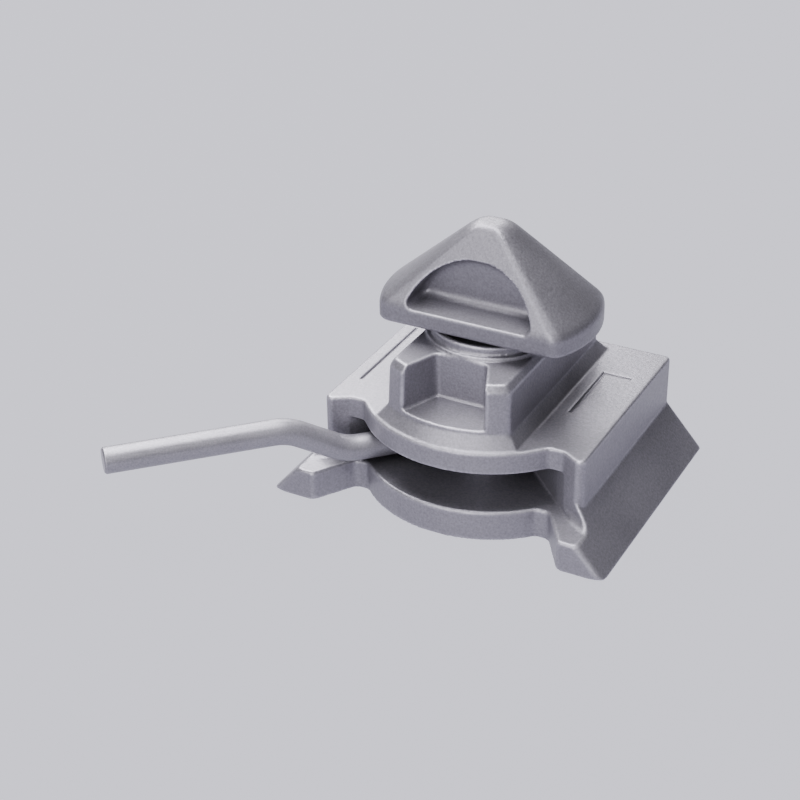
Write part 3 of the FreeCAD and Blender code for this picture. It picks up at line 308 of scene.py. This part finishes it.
# The casting and the turned hub also get the painted shade of the handle slot
cast_steel = metal("blasted_cast_steel", (0.231, 0.221, 0.256), 0.45, 0.75, slot_shade_strength=0.15)
forged_steel = metal("blasted_forged_steel", (0.184, 0.176, 0.204), 0.43, 0.75, grain=1000.0,
                     waves=0.3)
bar_steel = metal("galvanised_bar", (0.232, 0.223, 0.256), 0.42, 0.75, grain=1200.0, bump=0.18,
                  waves=0.2)
turned_steel = metal("turned_steel", (0.30, 0.295, 0.32), 0.38, 0.8, grain=1400.0, bump=0.12,
                     waves=0.1, slot_shade_strength=0.2)
ground_steel = metal("ground_washer_steel", (0.45, 0.45, 0.47), 0.3, 0.9, grain=1600.0, bump=0.08,
                     waves=0.05)
spring_steel = metal("oiled_spring_steel", (0.16, 0.16, 0.17), 0.35, 0.9, grain=1600.0, bump=0.08,
                     waves=0.0, speckle=0.1)
bearing_steel = metal("polished_bearing_steel", (0.6, 0.6, 0.62), 0.15, 1.0, grain=2000.0, bump=0.02,
                      waves=0.0, mottling=0.03, speckle=0.03)


# Sizes of the head of the cone
MM = 0.001
HEAD_UNDERSIDE = 84.5 * MM
HEAD_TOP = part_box("locking_cone")[1][2]
HEAD_HALF_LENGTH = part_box("locking_cone")[1][0]
HEAD_HALF_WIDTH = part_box("locking_cone")[1][1]
BAND_HEIGHT = 10.0 * MM
TIP_HALF_LENGTH = 7.8 * MM
TIP_HALF_WIDTH = 6.8 * MM
SHOULDER_REACH = 2.6 * MM
TIP_DROP = 4.2 * MM
TIP_FLAT_REACH = 3.4 * MM
RIM_BEVEL = 1.2 * MM
BAND_CORNER = 7.0 * MM
TIP_CORNER = 2.8 * MM
QUARTER_STEPS = 12
SHOULDER_STEPS = 8
SLOPE_STEPS = 24
TIP_STEPS = 10

# Sizes of its two scoops
SCOOP_ARCH = 32.5 * MM
SCOOP_ARCH_LEVEL = 86.3 * MM
SCOOP_FLOOR = 93.4 * MM
SCOOP_CORNER = 3.2 * MM
SCOOP_BACK = 10.5 * MM
SCOOP_BLEND = 4.0 * MM
SCOOP_DRAFT = 0.07
SCOOP_MOUTH = 24 * MM
SCOOP_OVERSHOOT = 6 * MM
SCOOP_LEAST_CORNER = 0.4 * MM
SCOOP_CORNER_STEPS = 8
SCOOP_ARCH_STEPS = 30
SCOOP_FLOOR_STEPS = 16
SCOOP_DEPTH_STEPS = 12
SCOOP_BLEND_DEGREES = 10

# The solid's spindle is cut off just under the head and then reaches into it
NECK_CUT = HEAD_UNDERSIDE - 0.5 * MM
NECK_RISE = 3 * MM

# Sizes of what is added to the housing or cut into it
DECK_TOP = 46.4 * MM
COLLAR_RADIUS = 54.8 * MM
COLLAR_HALF_WIDTH = 31.2 * MM
COLLAR_CORNER_LOW = 54 * MM
COLLAR_CORNER_HIGH = 75 * MM
FOOT_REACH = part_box("housing")[1][0]
FOOT_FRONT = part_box("housing")[0][1]
FOOT_EDGE_HIGH = 13 * MM
FLANK_SLOPE = math.tan(math.radians(41.5))
# Outer radius, inner radius, foot and top of the two steps of the boss
BOSS_STEPS = [(30.6 * MM, 17.4 * MM, 75 * MM, 78.2 * MM),
              (28.2 * MM, 25.4 * MM, 76 * MM, 82.3 * MM)]
BOSS_SIDES = 120
# The marking grooves: a straight one on the left deck, an angled one on the right deck
GROOVE_DEPTH = 1.1 * MM
GROOVE_WIDTH = 1.4 * MM
LEFT_GROOVE = -58.7 * MM - GROOVE_WIDTH / 2
LEFT_GROOVE_FRONT = -20.7 * MM
LEFT_GROOVE_BACK = 37.4 * MM
RIGHT_GROOVE = 43.1 * MM - GROOVE_WIDTH / 2
RIGHT_GROOVE_FRONT = -5.0 * MM
RIGHT_GROOVE_BACK = 36.0 * MM
RIGHT_GROOVE_END = 57.2 * MM

# Softening: cell size, smoothing passes and triangles kept
CONE_SOFTNESS = (0.6 * MM, 3, 150000)
HOUSING_SOFTNESS = (0.65 * MM, 2, 188000)
ROUND_REACH = 5 * MM
ROUND_PASSES = 24
SAME_POINT = 1e-6


def own_object(data, name):
    """New object at the origin that holds this mesh, curve or lamp."""
    piece = bpy.data.objects.new(name, data)
    scene.collection.objects.link(piece)
    return piece


def applied(piece, modifiers):
    """The piece with these modifiers baked into a plain mesh."""
    for kind, settings in modifiers:
        modifier = piece.modifiers.new(kind.lower(), kind)
        for key, setting in settings.items():
            setattr(modifier, key, setting)
    evaluated = piece.evaluated_get(bpy.context.evaluated_depsgraph_get())
    result = bpy.data.meshes.new_from_object(evaluated)
    result.name = piece.name
    before = piece.data
    piece.modifiers.clear()
    piece.data = result
    bpy.data.meshes.remove(before)
    return piece


def solid_copy(node):
    """The node's own surface as a working mesh, with its loose triangles joined up."""
    shape = bmesh.new()
    shape.from_mesh(frame["nodes"][node].data)
    bmesh.ops.remove_doubles(shape, verts=shape.verts, dist=SAME_POINT)
    return shape


def finished(shape, name):
    """Object of this name from a working mesh, which ends here."""
    mesh = bpy.data.meshes.new(name)
    shape.to_mesh(mesh)
    shape.free()
    return own_object(mesh, name)


def off_edge(point, start, end):
    """Distance from a point to the edge between two others."""
    share = min(1.0, max(0.0, intersect_point_line(point, start, end)[1]))
    return (point - start.lerp(end, share)).length


def softened(piece, cell, passes, triangles, round_edges=()):
    """Rebuild the surface from small cells and let every edge run soft, as blasting leaves it.

    The round edges, given by their two ends, get a larger rounding.
    """
    applied(piece, [("REMESH", {"mode": "VOXEL", "voxel_size": cell}),
                    ("SMOOTH", {"factor": 0.5, "iterations": passes})])
    if round_edges:
        near = piece.vertex_groups.new(name="round_edges")
        for vertex in piece.data.vertices:
            away = min(off_edge(vertex.co, start, end) for start, end in round_edges) / ROUND_REACH
            if away < 1:
                near.add([vertex.index], min(1.0, 2 - 2 * away), "REPLACE")
        applied(piece, [("SMOOTH", {"factor": 0.5, "iterations": ROUND_PASSES,
                                    "vertex_group": "round_edges"})])
        piece.vertex_groups.clear()
    applied(piece, [("TRIANGULATE", {})])
    share = min(1.0, triangles / len(piece.data.polygons))
    applied(piece, [("DECIMATE", {"decimate_type": "COLLAPSE", "ratio": share})])
    piece.data.shade_smooth()
    return piece


def stands_for(piece, node, material):
    """Put the finished piece in this node's place, on its body and in its finish."""
    piece.data.materials.clear()
    piece.data.materials.append(material)
    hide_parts(node)
    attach(piece, frame["nodes"][node]["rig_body"])


def joined_rings(shape, rings, close_ends=True):
    """Walls between neighbouring rings of points, with flat ends where asked."""
    rows = [[shape.verts.new(point) for point in ring] for ring in rings]
    for low, high in zip(rows, rows[1:]):
        for here in range(len(low)):
            there = (here + 1) % len(low)
            shape.faces.new((low[here], low[there], high[there], high[here]))
    if close_ends:
        shape.faces.new(list(reversed(rows[0])))
        shape.faces.new(rows[-1])


def head_ring(level, half_width, half_length, corner):
    """Level section of the head: flat flanks, round ends and an arc where they meet."""
    steps = QUARTER_STEPS
    swing = math.asin((half_width - corner) / (half_length - corner))
    middle = Vector(((half_length - corner) * math.cos(swing), half_width - corner))
    quarter = []
    for step in range(steps):
        angle = swing * step / steps
        quarter.append((half_length * math.cos(angle), half_length * math.sin(angle)))
    for step in range(steps):
        angle = swing + (math.pi / 2 - swing) * step / steps
        quarter.append((middle.x + corner * math.cos(angle), middle.y + corner * math.sin(angle)))
    for step in range(steps + 1):
        quarter.append((middle.x * (1 - step / steps), half_width))
    back = list(reversed(quarter))
    ring = quarter[:-1] + [(-x, y) for x, y in back[:-1]]
    ring += [(-x, -y) for x, y in quarter[:-1]] + [(x, -y) for x, y in back[:-1]]
    return [(x, y, level) for x, y in ring]


def bent(start, knee, end, steps):
    """Points of a rounded knee between two straight runs."""
    shares = [step / steps for step in range(steps + 1)]
    return [[a * (1 - s) ** 2 + 2 * b * s * (1 - s) + c * s * s for a, b, c in zip(start, knee, end)]
            for s in shares]


def head_levels():
    """Level, half width, half length and corner radius from the rim up to the tip."""
    band_top = HEAD_UNDERSIDE + BAND_HEIGHT
    rise = HEAD_TOP - band_top
    width_slope = (HEAD_HALF_WIDTH - TIP_HALF_WIDTH) / rise
    length_slope = (HEAD_HALF_LENGTH - TIP_HALF_LENGTH) / rise
    corner_slope = (BAND_CORNER - TIP_CORNER) / rise

    def on_slope(level):
        up = level - band_top
        return [level, HEAD_HALF_WIDTH - width_slope * up, HEAD_HALF_LENGTH - length_slope * up,
                BAND_CORNER - corner_slope * up]

    def on_band(level, inset=0.0):
        return [level, HEAD_HALF_WIDTH - inset, HEAD_HALF_LENGTH - inset, BAND_CORNER - inset]

    yield from (on_band(HEAD_UNDERSIDE, RIM_BEVEL), on_band(HEAD_UNDERSIDE + RIM_BEVEL))
    yield from bent(on_band(band_top - SHOULDER_REACH), on_band(band_top),
                    on_slope(band_top + SHOULDER_REACH), SHOULDER_STEPS)
    tip_foot = HEAD_TOP - TIP_DROP
    for step in range(1, SLOPE_STEPS):
        share = step / SLOPE_STEPS
        yield on_slope((band_top + SHOULDER_REACH) * (1 - share) + tip_foot * share)
    tip_knee = [HEAD_TOP, TIP_HALF_WIDTH, TIP_HALF_LENGTH, TIP_CORNER]
    flat_end = [HEAD_TOP, TIP_HALF_WIDTH - TIP_FLAT_REACH, TIP_HALF_LENGTH - TIP_FLAT_REACH, TIP_CORNER]
    yield from bent(on_slope(tip_foot), tip_knee, flat_end, TIP_STEPS)


def scoop_ring(depth, inset):
    """Outline of a scoop at one depth: flat floor, round arch and rounded corners, inset all round."""
    arch = SCOOP_ARCH - inset
    corner = max(SCOOP_CORNER - inset, SCOOP_LEAST_CORNER)
    floor = SCOOP_FLOOR + inset
    swing = math.asin((floor + corner - SCOOP_ARCH_LEVEL) / (arch - corner))
    side = (arch - corner) * math.cos(swing)
    right = []
    for step in range(SCOOP_CORNER_STEPS + 1):
        angle = -math.pi / 2 + (math.pi / 2 + swing) * step / SCOOP_CORNER_STEPS
        right.append((side + corner * math.cos(angle), floor + corner + corner * math.sin(angle)))
    for step in range(1, SCOOP_ARCH_STEPS):
        angle = swing + (math.pi / 2 - swing) * step / SCOOP_ARCH_STEPS
        right.append((arch * math.cos(angle), SCOOP_ARCH_LEVEL + arch * math.sin(angle)))
    outline = right + [(0, SCOOP_ARCH_LEVEL + arch)] + [(-x, z) for x, z in reversed(right)]
    outline += [(side * (2 * step / SCOOP_FLOOR_STEPS - 1), floor) for step in range(1, SCOOP_FLOOR_STEPS)]
    return [(x, depth, z) for x, z in outline]


def scoop_room(side):
    """Room of one scoop: an arched hollow with some draft and a blended back; side -1 is the front."""
    rings = []
    outermost = HEAD_HALF_WIDTH + SCOOP_OVERSHOOT
    depth = outermost - SCOOP_BACK - SCOOP_BLEND
    for step in range(SCOOP_DEPTH_STEPS + 1):
        away = outermost - depth * step / SCOOP_DEPTH_STEPS
        rings.append((away, SCOOP_DRAFT * (SCOOP_MOUTH - away)))
    inner = rings[-1][1]
    for angle in range(SCOOP_BLEND_DEGREES, 91, SCOOP_BLEND_DEGREES):
        turn = math.radians(angle)
        away = SCOOP_BACK + SCOOP_BLEND * (1 - math.sin(turn))
        rings.append((away, inner + SCOOP_BLEND * (1 - math.cos(turn))))
    shape = bmesh.new()
    joined_rings(shape, [scoop_ring(side * away, inset) for away, inset in rings])
    bmesh.ops.recalc_face_normals(shape, faces=shape.faces)
    return finished(shape, "scoop_room")


def cut_from(piece, room):
    """Take the room out of the piece and drop the room."""
    applied(piece, [("BOOLEAN", {"operation": "DIFFERENCE", "object": room, "solver": "EXACT"})])
    bpy.data.objects.remove(room)


def neck_and_shank():
    """The solid's spindle without its head, with a flat top that ends inside the new head."""
    spindle = solid_copy("locking_cone")
    everything = spindle.verts[:] + spindle.edges[:] + spindle.faces[:]
    cut = bmesh.ops.bisect_plane(spindle, geom=everything, plane_co=(0, 0, NECK_CUT), plane_no=(0, 0, 1),
                                 clear_outer=True)
    open_rim = [edge for edge in cut["geom_cut"] if isinstance(edge, bmesh.types.BMEdge)]
    top = bmesh.ops.edgeloop_fill(spindle, edges=open_rim)["faces"]
    raised = bmesh.ops.extrude_face_region(spindle, geom=top)["geom"]
    raised_points = [part for part in raised if isinstance(part, bmesh.types.BMVert)]
    bmesh.ops.translate(spindle, verts=raised_points, vec=(0, 0, NECK_RISE))
    return spindle


def forge_cone():
    """Head with its two scoops, joined to the neck and shank as one forging."""
    head = bmesh.new()
    joined_rings(head, [head_ring(*level) for level in head_levels()])
    cone = finished(head, "cone_forging")
    for side in (-1, 1):
        cut_from(cone, scoop_room(side))
    spindle = neck_and_shank()
    spindle.from_mesh(cone.data)
    spindle.to_mesh(cone.data)
    spindle.free()
    softened(cone, *CONE_SOFTNESS)
    stands_for(cone, "locking_cone", forged_steel)


def add_boss_steps(casting):
    """The two low steps round the neck, added to the casting's mesh."""
    turns = [2 * math.pi * step / BOSS_SIDES for step in range(BOSS_SIDES)]
    for outer, inner, low, high in BOSS_STEPS:
        tube = [(outer, low), (outer, high), (inner, high), (inner, low), (outer, low)]
        rings = [[(math.cos(turn) * size, math.sin(turn) * size, level) for turn in turns]
                 for size, level in tube]
        joined_rings(casting, rings, close_ends=False)
    bmesh.ops.remove_doubles(casting, verts=casting.verts, dist=SAME_POINT / 10)


def rounder_edges():
    """Ends of the collar's front corners and of the feet's outer edges, left and right."""
    corner = math.sqrt(COLLAR_RADIUS ** 2 - COLLAR_HALF_WIDTH ** 2)
    foot_high = FOOT_REACH - FLANK_SLOPE * FOOT_EDGE_HIGH
    edges = []
    for side in (-1, 1):
        edges.append((Vector((side * COLLAR_HALF_WIDTH, -corner, COLLAR_CORNER_LOW)),
                      Vector((side * COLLAR_HALF_WIDTH, -corner, COLLAR_CORNER_HIGH))))
        edges.append((Vector((side * FOOT_REACH, FOOT_FRONT, 0)),
                      Vector((side * foot_high, FOOT_FRONT, FOOT_EDGE_HIGH))))
    return edges


def groove_room():
    """Room of the marking grooves, which are cut after the softening and so stay crisp."""
    left_end = LEFT_GROOVE + GROOVE_WIDTH
    right_side = RIGHT_GROOVE + GROOVE_WIDTH
    right_back = RIGHT_GROOVE_BACK + GROOVE_WIDTH
    outlines = (
        ((LEFT_GROOVE, LEFT_GROOVE_FRONT), (left_end, LEFT_GROOVE_FRONT),
         (left_end, LEFT_GROOVE_BACK), (LEFT_GROOVE, LEFT_GROOVE_BACK)),
        ((RIGHT_GROOVE, RIGHT_GROOVE_FRONT), (right_side, RIGHT_GROOVE_FRONT),
         (right_side, RIGHT_GROOVE_BACK), (RIGHT_GROOVE_END, RIGHT_GROOVE_BACK),
         (RIGHT_GROOVE_END, right_back), (RIGHT_GROOVE, right_back)))
    grooves = bmesh.new()
    for outline in outlines:
        joined_rings(grooves, [[(x, y, level) for x, y in outline]
                               for level in (DECK_TOP - GROOVE_DEPTH, DECK_TOP + GROOVE_DEPTH)])
    return finished(grooves, "groove_room")


def cast_housing():
    """Casting from its own solid, with the boss's steps, soft edges and crisp marking grooves."""
    casting = solid_copy("housing")
    add_boss_steps(casting)
    housing = softened(finished(casting, "housing_casting"), *HOUSING_SOFTNESS, rounder_edges())
    cut_from(housing, groove_room())
    housing.data.shade_smooth()
    stands_for(housing, "housing", cast_steel)


# Swept pieces: a round section carried along a line by geometry nodes
SECTION_SIDES = 48
BEND_POINTS = 14
POINTS_BETWEEN = 8
COIL_POINTS = 32


def sweep_tree(name, inputs):
    """New tree with geometry in and out, these named inputs and a finish."""
    tree = bpy.data.node_groups.new(name, "GeometryNodeTree")
    tree.interface.new_socket("Geometry", in_out="INPUT", socket_type="NodeSocketGeometry")
    for label, kind, default in inputs + [("Finish", "NodeSocketMaterial", None)]:
        socket = tree.interface.new_socket(label, in_out="INPUT", socket_type=kind)
        if default is not None:
            socket.default_value = default
    tree.interface.new_socket("Geometry", in_out="OUTPUT", socket_type="NodeSocketGeometry")
    return tree, tree.nodes.new("NodeGroupInput"), tree.nodes.new("NodeGroupOutput")


def skin_line(tree, given, result, line, radius):
    """Give the line a round section, then make it a smooth, closed mesh in its finish."""
    section = add_node(tree, "GeometryNodeCurvePrimitiveCircle", in_Resolution=SECTION_SIDES)
    tree.links.new(radius, section.inputs["Radius"])
    sweep = add_node(tree, "GeometryNodeCurveToMesh", in_Fill_Caps=True)
    taper = tree.nodes.new("GeometryNodeInputRadius")
    tree.links.new(taper.outputs["Radius"], sweep.inputs["Scale"])
    smooth = add_node(tree, "GeometryNodeSetShadeSmooth")
    real = add_node(tree, "GeometryNodeRealizeInstances")
    finish = add_node(tree, "GeometryNodeSetMaterial")
    tree.links.new(line, sweep.inputs["Curve"])
    tree.links.new(section.outputs["Curve"], sweep.inputs["Profile Curve"])
    tree.links.new(sweep.outputs["Mesh"], smooth.inputs["Geometry"])
    tree.links.new(smooth.outputs["Geometry"], real.inputs["Geometry"])
    tree.links.new(real.outputs["Geometry"], finish.inputs["Geometry"])
    tree.links.new(given.outputs["Finish"], finish.inputs["Material"])
    tree.links.new(finish.outputs["Geometry"], result.inputs["Geometry"])


def run_tree(holder, tree, values, name):
    """Plain mesh from the tree on the holder, with its named inputs set first."""
    modifier = holder.modifiers.new("nodes", "NODES")
    modifier.node_group = tree
    for item in tree.interface.items_tree:
        if item.in_out == "INPUT" and item.name in values:
            modifier[item.identifier] = values[item.name]
    evaluated = holder.evaluated_get(bpy.context.evaluated_depsgraph_get())
    mesh = bpy.data.meshes.new_from_object(evaluated)
    mesh.name = name
    bpy.data.objects.remove(holder)
    return own_object(mesh, name)


def bent_bar_tree():
    """Bar along a line of straight runs, with its bends rounded."""
    tree, given, result = sweep_tree("bent_bar", [("Bar Radius", "NodeSocketFloat", 0.006),
                                                  ("Bend Radius", "NodeSocketFloat", 0.02)])
    bends = add_node(tree, "GeometryNodeFilletCurve", mode="POLY", in_Count=BEND_POINTS)
    tree.links.new(given.outputs["Geometry"], bends.inputs["Curve"])
    tree.links.new(given.outputs["Bend Radius"], bends.inputs["Radius"])
    stations = add_node(tree, "GeometryNodeSubdivideCurve", in_Cuts=POINTS_BETWEEN)
    tree.links.new(bends.outputs["Curve"], stations.inputs["Curve"])
    skin_line(tree, given, result, stations.outputs["Curve"], given.outputs["Bar Radius"])
    return tree


BAR_RADIUS = 6.25 * MM
BAR_END_BEVEL = 0.8 * MM
BAR_BEND = 26.0 * MM
BAR_LOW = 25.4 * MM
BAR_HIGH = 41.0 * MM
# Distances from the spindle's axis
BAR_INNER_END = -21.6 * MM
FIRST_BEND = 72.0 * MM
SECOND_BEND = 99.5 * MM
BAR_REACH = 185.2 * MM


def bend_handle():
    """Bar with two bends that leaves the slot to the front left, with a bevelled end."""
    away = Vector((-math.sqrt(0.5), -math.sqrt(0.5), 0))
    outer = (BAR_REACH, BAR_HIGH)
    stations = [((BAR_INNER_END, BAR_LOW), 1.0), ((FIRST_BEND, BAR_LOW), 1.0),
                ((SECOND_BEND, BAR_HIGH), 1.0), ((BAR_REACH - 2 * BAR_END_BEVEL, BAR_HIGH), 1.0),
                ((BAR_REACH - BAR_END_BEVEL, BAR_HIGH), 1.0), (outer, 1 - BAR_END_BEVEL / BAR_RADIUS)]
    curve = bpy.data.curves.new("handle_line", "CURVE")
    curve.dimensions = "3D"
    spline = curve.splines.new("POLY")
    spline.points.add(len(stations) - 1)
    for point, ((along, level), share) in zip(spline.points, stations):
        point.co = (*(away * along + Vector((0, 0, level))), 1)
        point.radius = share
    sizes = {"Bar Radius": BAR_RADIUS, "Bend Radius": BAR_BEND, "Finish": bar_steel}
    handle = run_tree(own_object(curve, curve.name), bent_bar_tree(), sizes, "bent_handle")
    shape = bmesh.new()
    shape.from_mesh(handle.data)
    bmesh.ops.remove_doubles(shape, verts=shape.verts, dist=SAME_POINT)
    shape.to_mesh(handle.data)
    shape.free()
    stands_for(handle, "handle", bar_steel)


def coil_tree():
    """Wire wound round an upright axis."""
    tree, given, result = sweep_tree("coil", [("Wire Radius", "NodeSocketFloat", 0.0004),
                                              ("Coil Radius", "NodeSocketFloat", 0.002),
                                              ("Height", "NodeSocketFloat", 0.004),
                                              ("Turns", "NodeSocketFloat", 4.0)])
    coil = add_node(tree, "GeometryNodeCurveSpiral", in_Resolution=COIL_POINTS)
    for label, source in (("Rotations", "Turns"), ("Start Radius", "Coil Radius"),
                          ("End Radius", "Coil Radius"), ("Height", "Height")):
        tree.links.new(given.outputs[source], coil.inputs[label])
    skin_line(tree, given, result, coil.outputs["Curve"], given.outputs["Wire Radius"])
    return tree


SPRING_WIRE = 0.7 * MM
SPRING_TURNS = 4.0


def wind_spring():
    """Coil that fills the room of the solid spring."""
    low, high = (Vector(corner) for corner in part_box("detent_spring"))
    holder = own_object(bpy.data.meshes.new("spring_seed"), "spring_seed")
    sizes = {"Wire Radius": SPRING_WIRE / 2, "Coil Radius": (high.x - low.x - SPRING_WIRE) / 2,
             "Height": high.z - low.z - SPRING_WIRE, "Turns": SPRING_TURNS, "Finish": spring_steel}
    spring = run_tree(holder, coil_tree(), sizes, "detent_coil")
    seat = Vector(((low.x + high.x) / 2, (low.y + high.y) / 2, low.z + SPRING_WIRE / 2))
    spring.data.transform(Matrix.Translation(seat))
    stands_for(spring, "detent_spring", spring_steel)


forge_cone()
cast_housing()
bend_handle()
wind_spring()

for node, material in (("spindle_hub", turned_steel), ("thrust_washer", ground_steel),
                       ("handle_pin", spring_steel), ("detent_ball", bearing_steel),
                       ("detent_plug", turned_steel)):
    for slot in frame["nodes"][node].material_slots:
        slot.material = material

# Studio: pale floor that glows softly by itself, and large lamps
FLOOR_COLOUR = (0.88, 0.87, 1.0, 1)
FLOOR_GLOW = 1.2
FLOOR_MATT_SHARE = 0.03
FLOOR_HALF_WIDTH = 6
FLOOR_LEVEL = -0.2 * MM
NEUTRAL_GREY = (0.5, 0.5, 0.53, 1)
WORLD_LIGHT = 0.03
LAMP_DISTANCE = 1.3
LAMP_SIZE = 0.7
LAMP_TARGET = Vector((0, 0, 50 * MM))


def pale_floor():
    """Wide floor just under the part, in a glow with a small matt share."""
    material = bpy.data.materials.new("pale_floor")
    material.use_nodes = True
    tree = material.node_tree
    tree.nodes.remove(tree.nodes["Principled BSDF"])
    glow = add_node(tree, "ShaderNodeEmission", in_Strength=FLOOR_GLOW)
    glow.inputs["Color"].default_value = FLOOR_COLOUR
    matt = add_node(tree, "ShaderNodeBsdfDiffuse")
    matt.inputs["Color"].default_value = NEUTRAL_GREY
    blend = add_node(tree, "ShaderNodeMixShader", in_0=FLOOR_MATT_SHARE)
    tree.links.new(glow.outputs[0], blend.inputs[1])
    tree.links.new(matt.outputs[0], blend.inputs[2])
    tree.links.new(blend.outputs[0], tree.nodes["Material Output"].inputs["Surface"])
    mesh = bpy.data.meshes.new("floor")
    corners = [(x * FLOOR_HALF_WIDTH, y * FLOOR_HALF_WIDTH, FLOOR_LEVEL)
               for x, y in ((-1, -1), (1, -1), (1, 1), (-1, 1))]
    mesh.from_pydata(corners, [], [(0, 1, 2, 3)])
    mesh.materials.append(material)
    floor = own_object(mesh, "floor")


def lamp(name, azimuth, elevation, power):
    """Square lamp that looks at the part; azimuth counts from the front towards the right."""
    a, e = math.radians(azimuth), math.radians(elevation)
    away = Vector((math.sin(a) * math.cos(e), -math.cos(a) * math.cos(e), math.sin(e)))
    light = bpy.data.lights.new(name, "AREA")
    light.size = LAMP_SIZE
    light.energy = power
    holder = own_object(light, name)
    holder.location = LAMP_TARGET + away * LAMP_DISTANCE
    holder.rotation_euler = away.to_track_quat("Z", "Y").to_euler()


pale_floor()
# Name, azimuth and elevation in degrees, power in watts
for setting in (("left_top_lamp", -110, 60, 26.0), ("left_back_lamp", -140, 35, 16.0),
                ("back_lamp", -170, 35, 4.0), ("front_lamp", -20, 35, 6.8),
                ("fill_lamp", 15, 35, 5.5), ("low_lamp", 5, 14, 7.8),
                ("high_lamp", -20, 62, 1.4), ("top_lamp", 0, 88, 20.0),
                ("right_lamp", 65, 35, 1.5), ("right_back_lamp", 140, 35, 0.25)):
    lamp(*setting)
world = bpy.data.worlds.new("studio")
world.use_nodes = True
background = world.node_tree.nodes["Background"].inputs
background["Color"].default_value = NEUTRAL_GREY
background["Strength"].default_value = WORLD_LIGHT
scene.world = world

aim_camera()
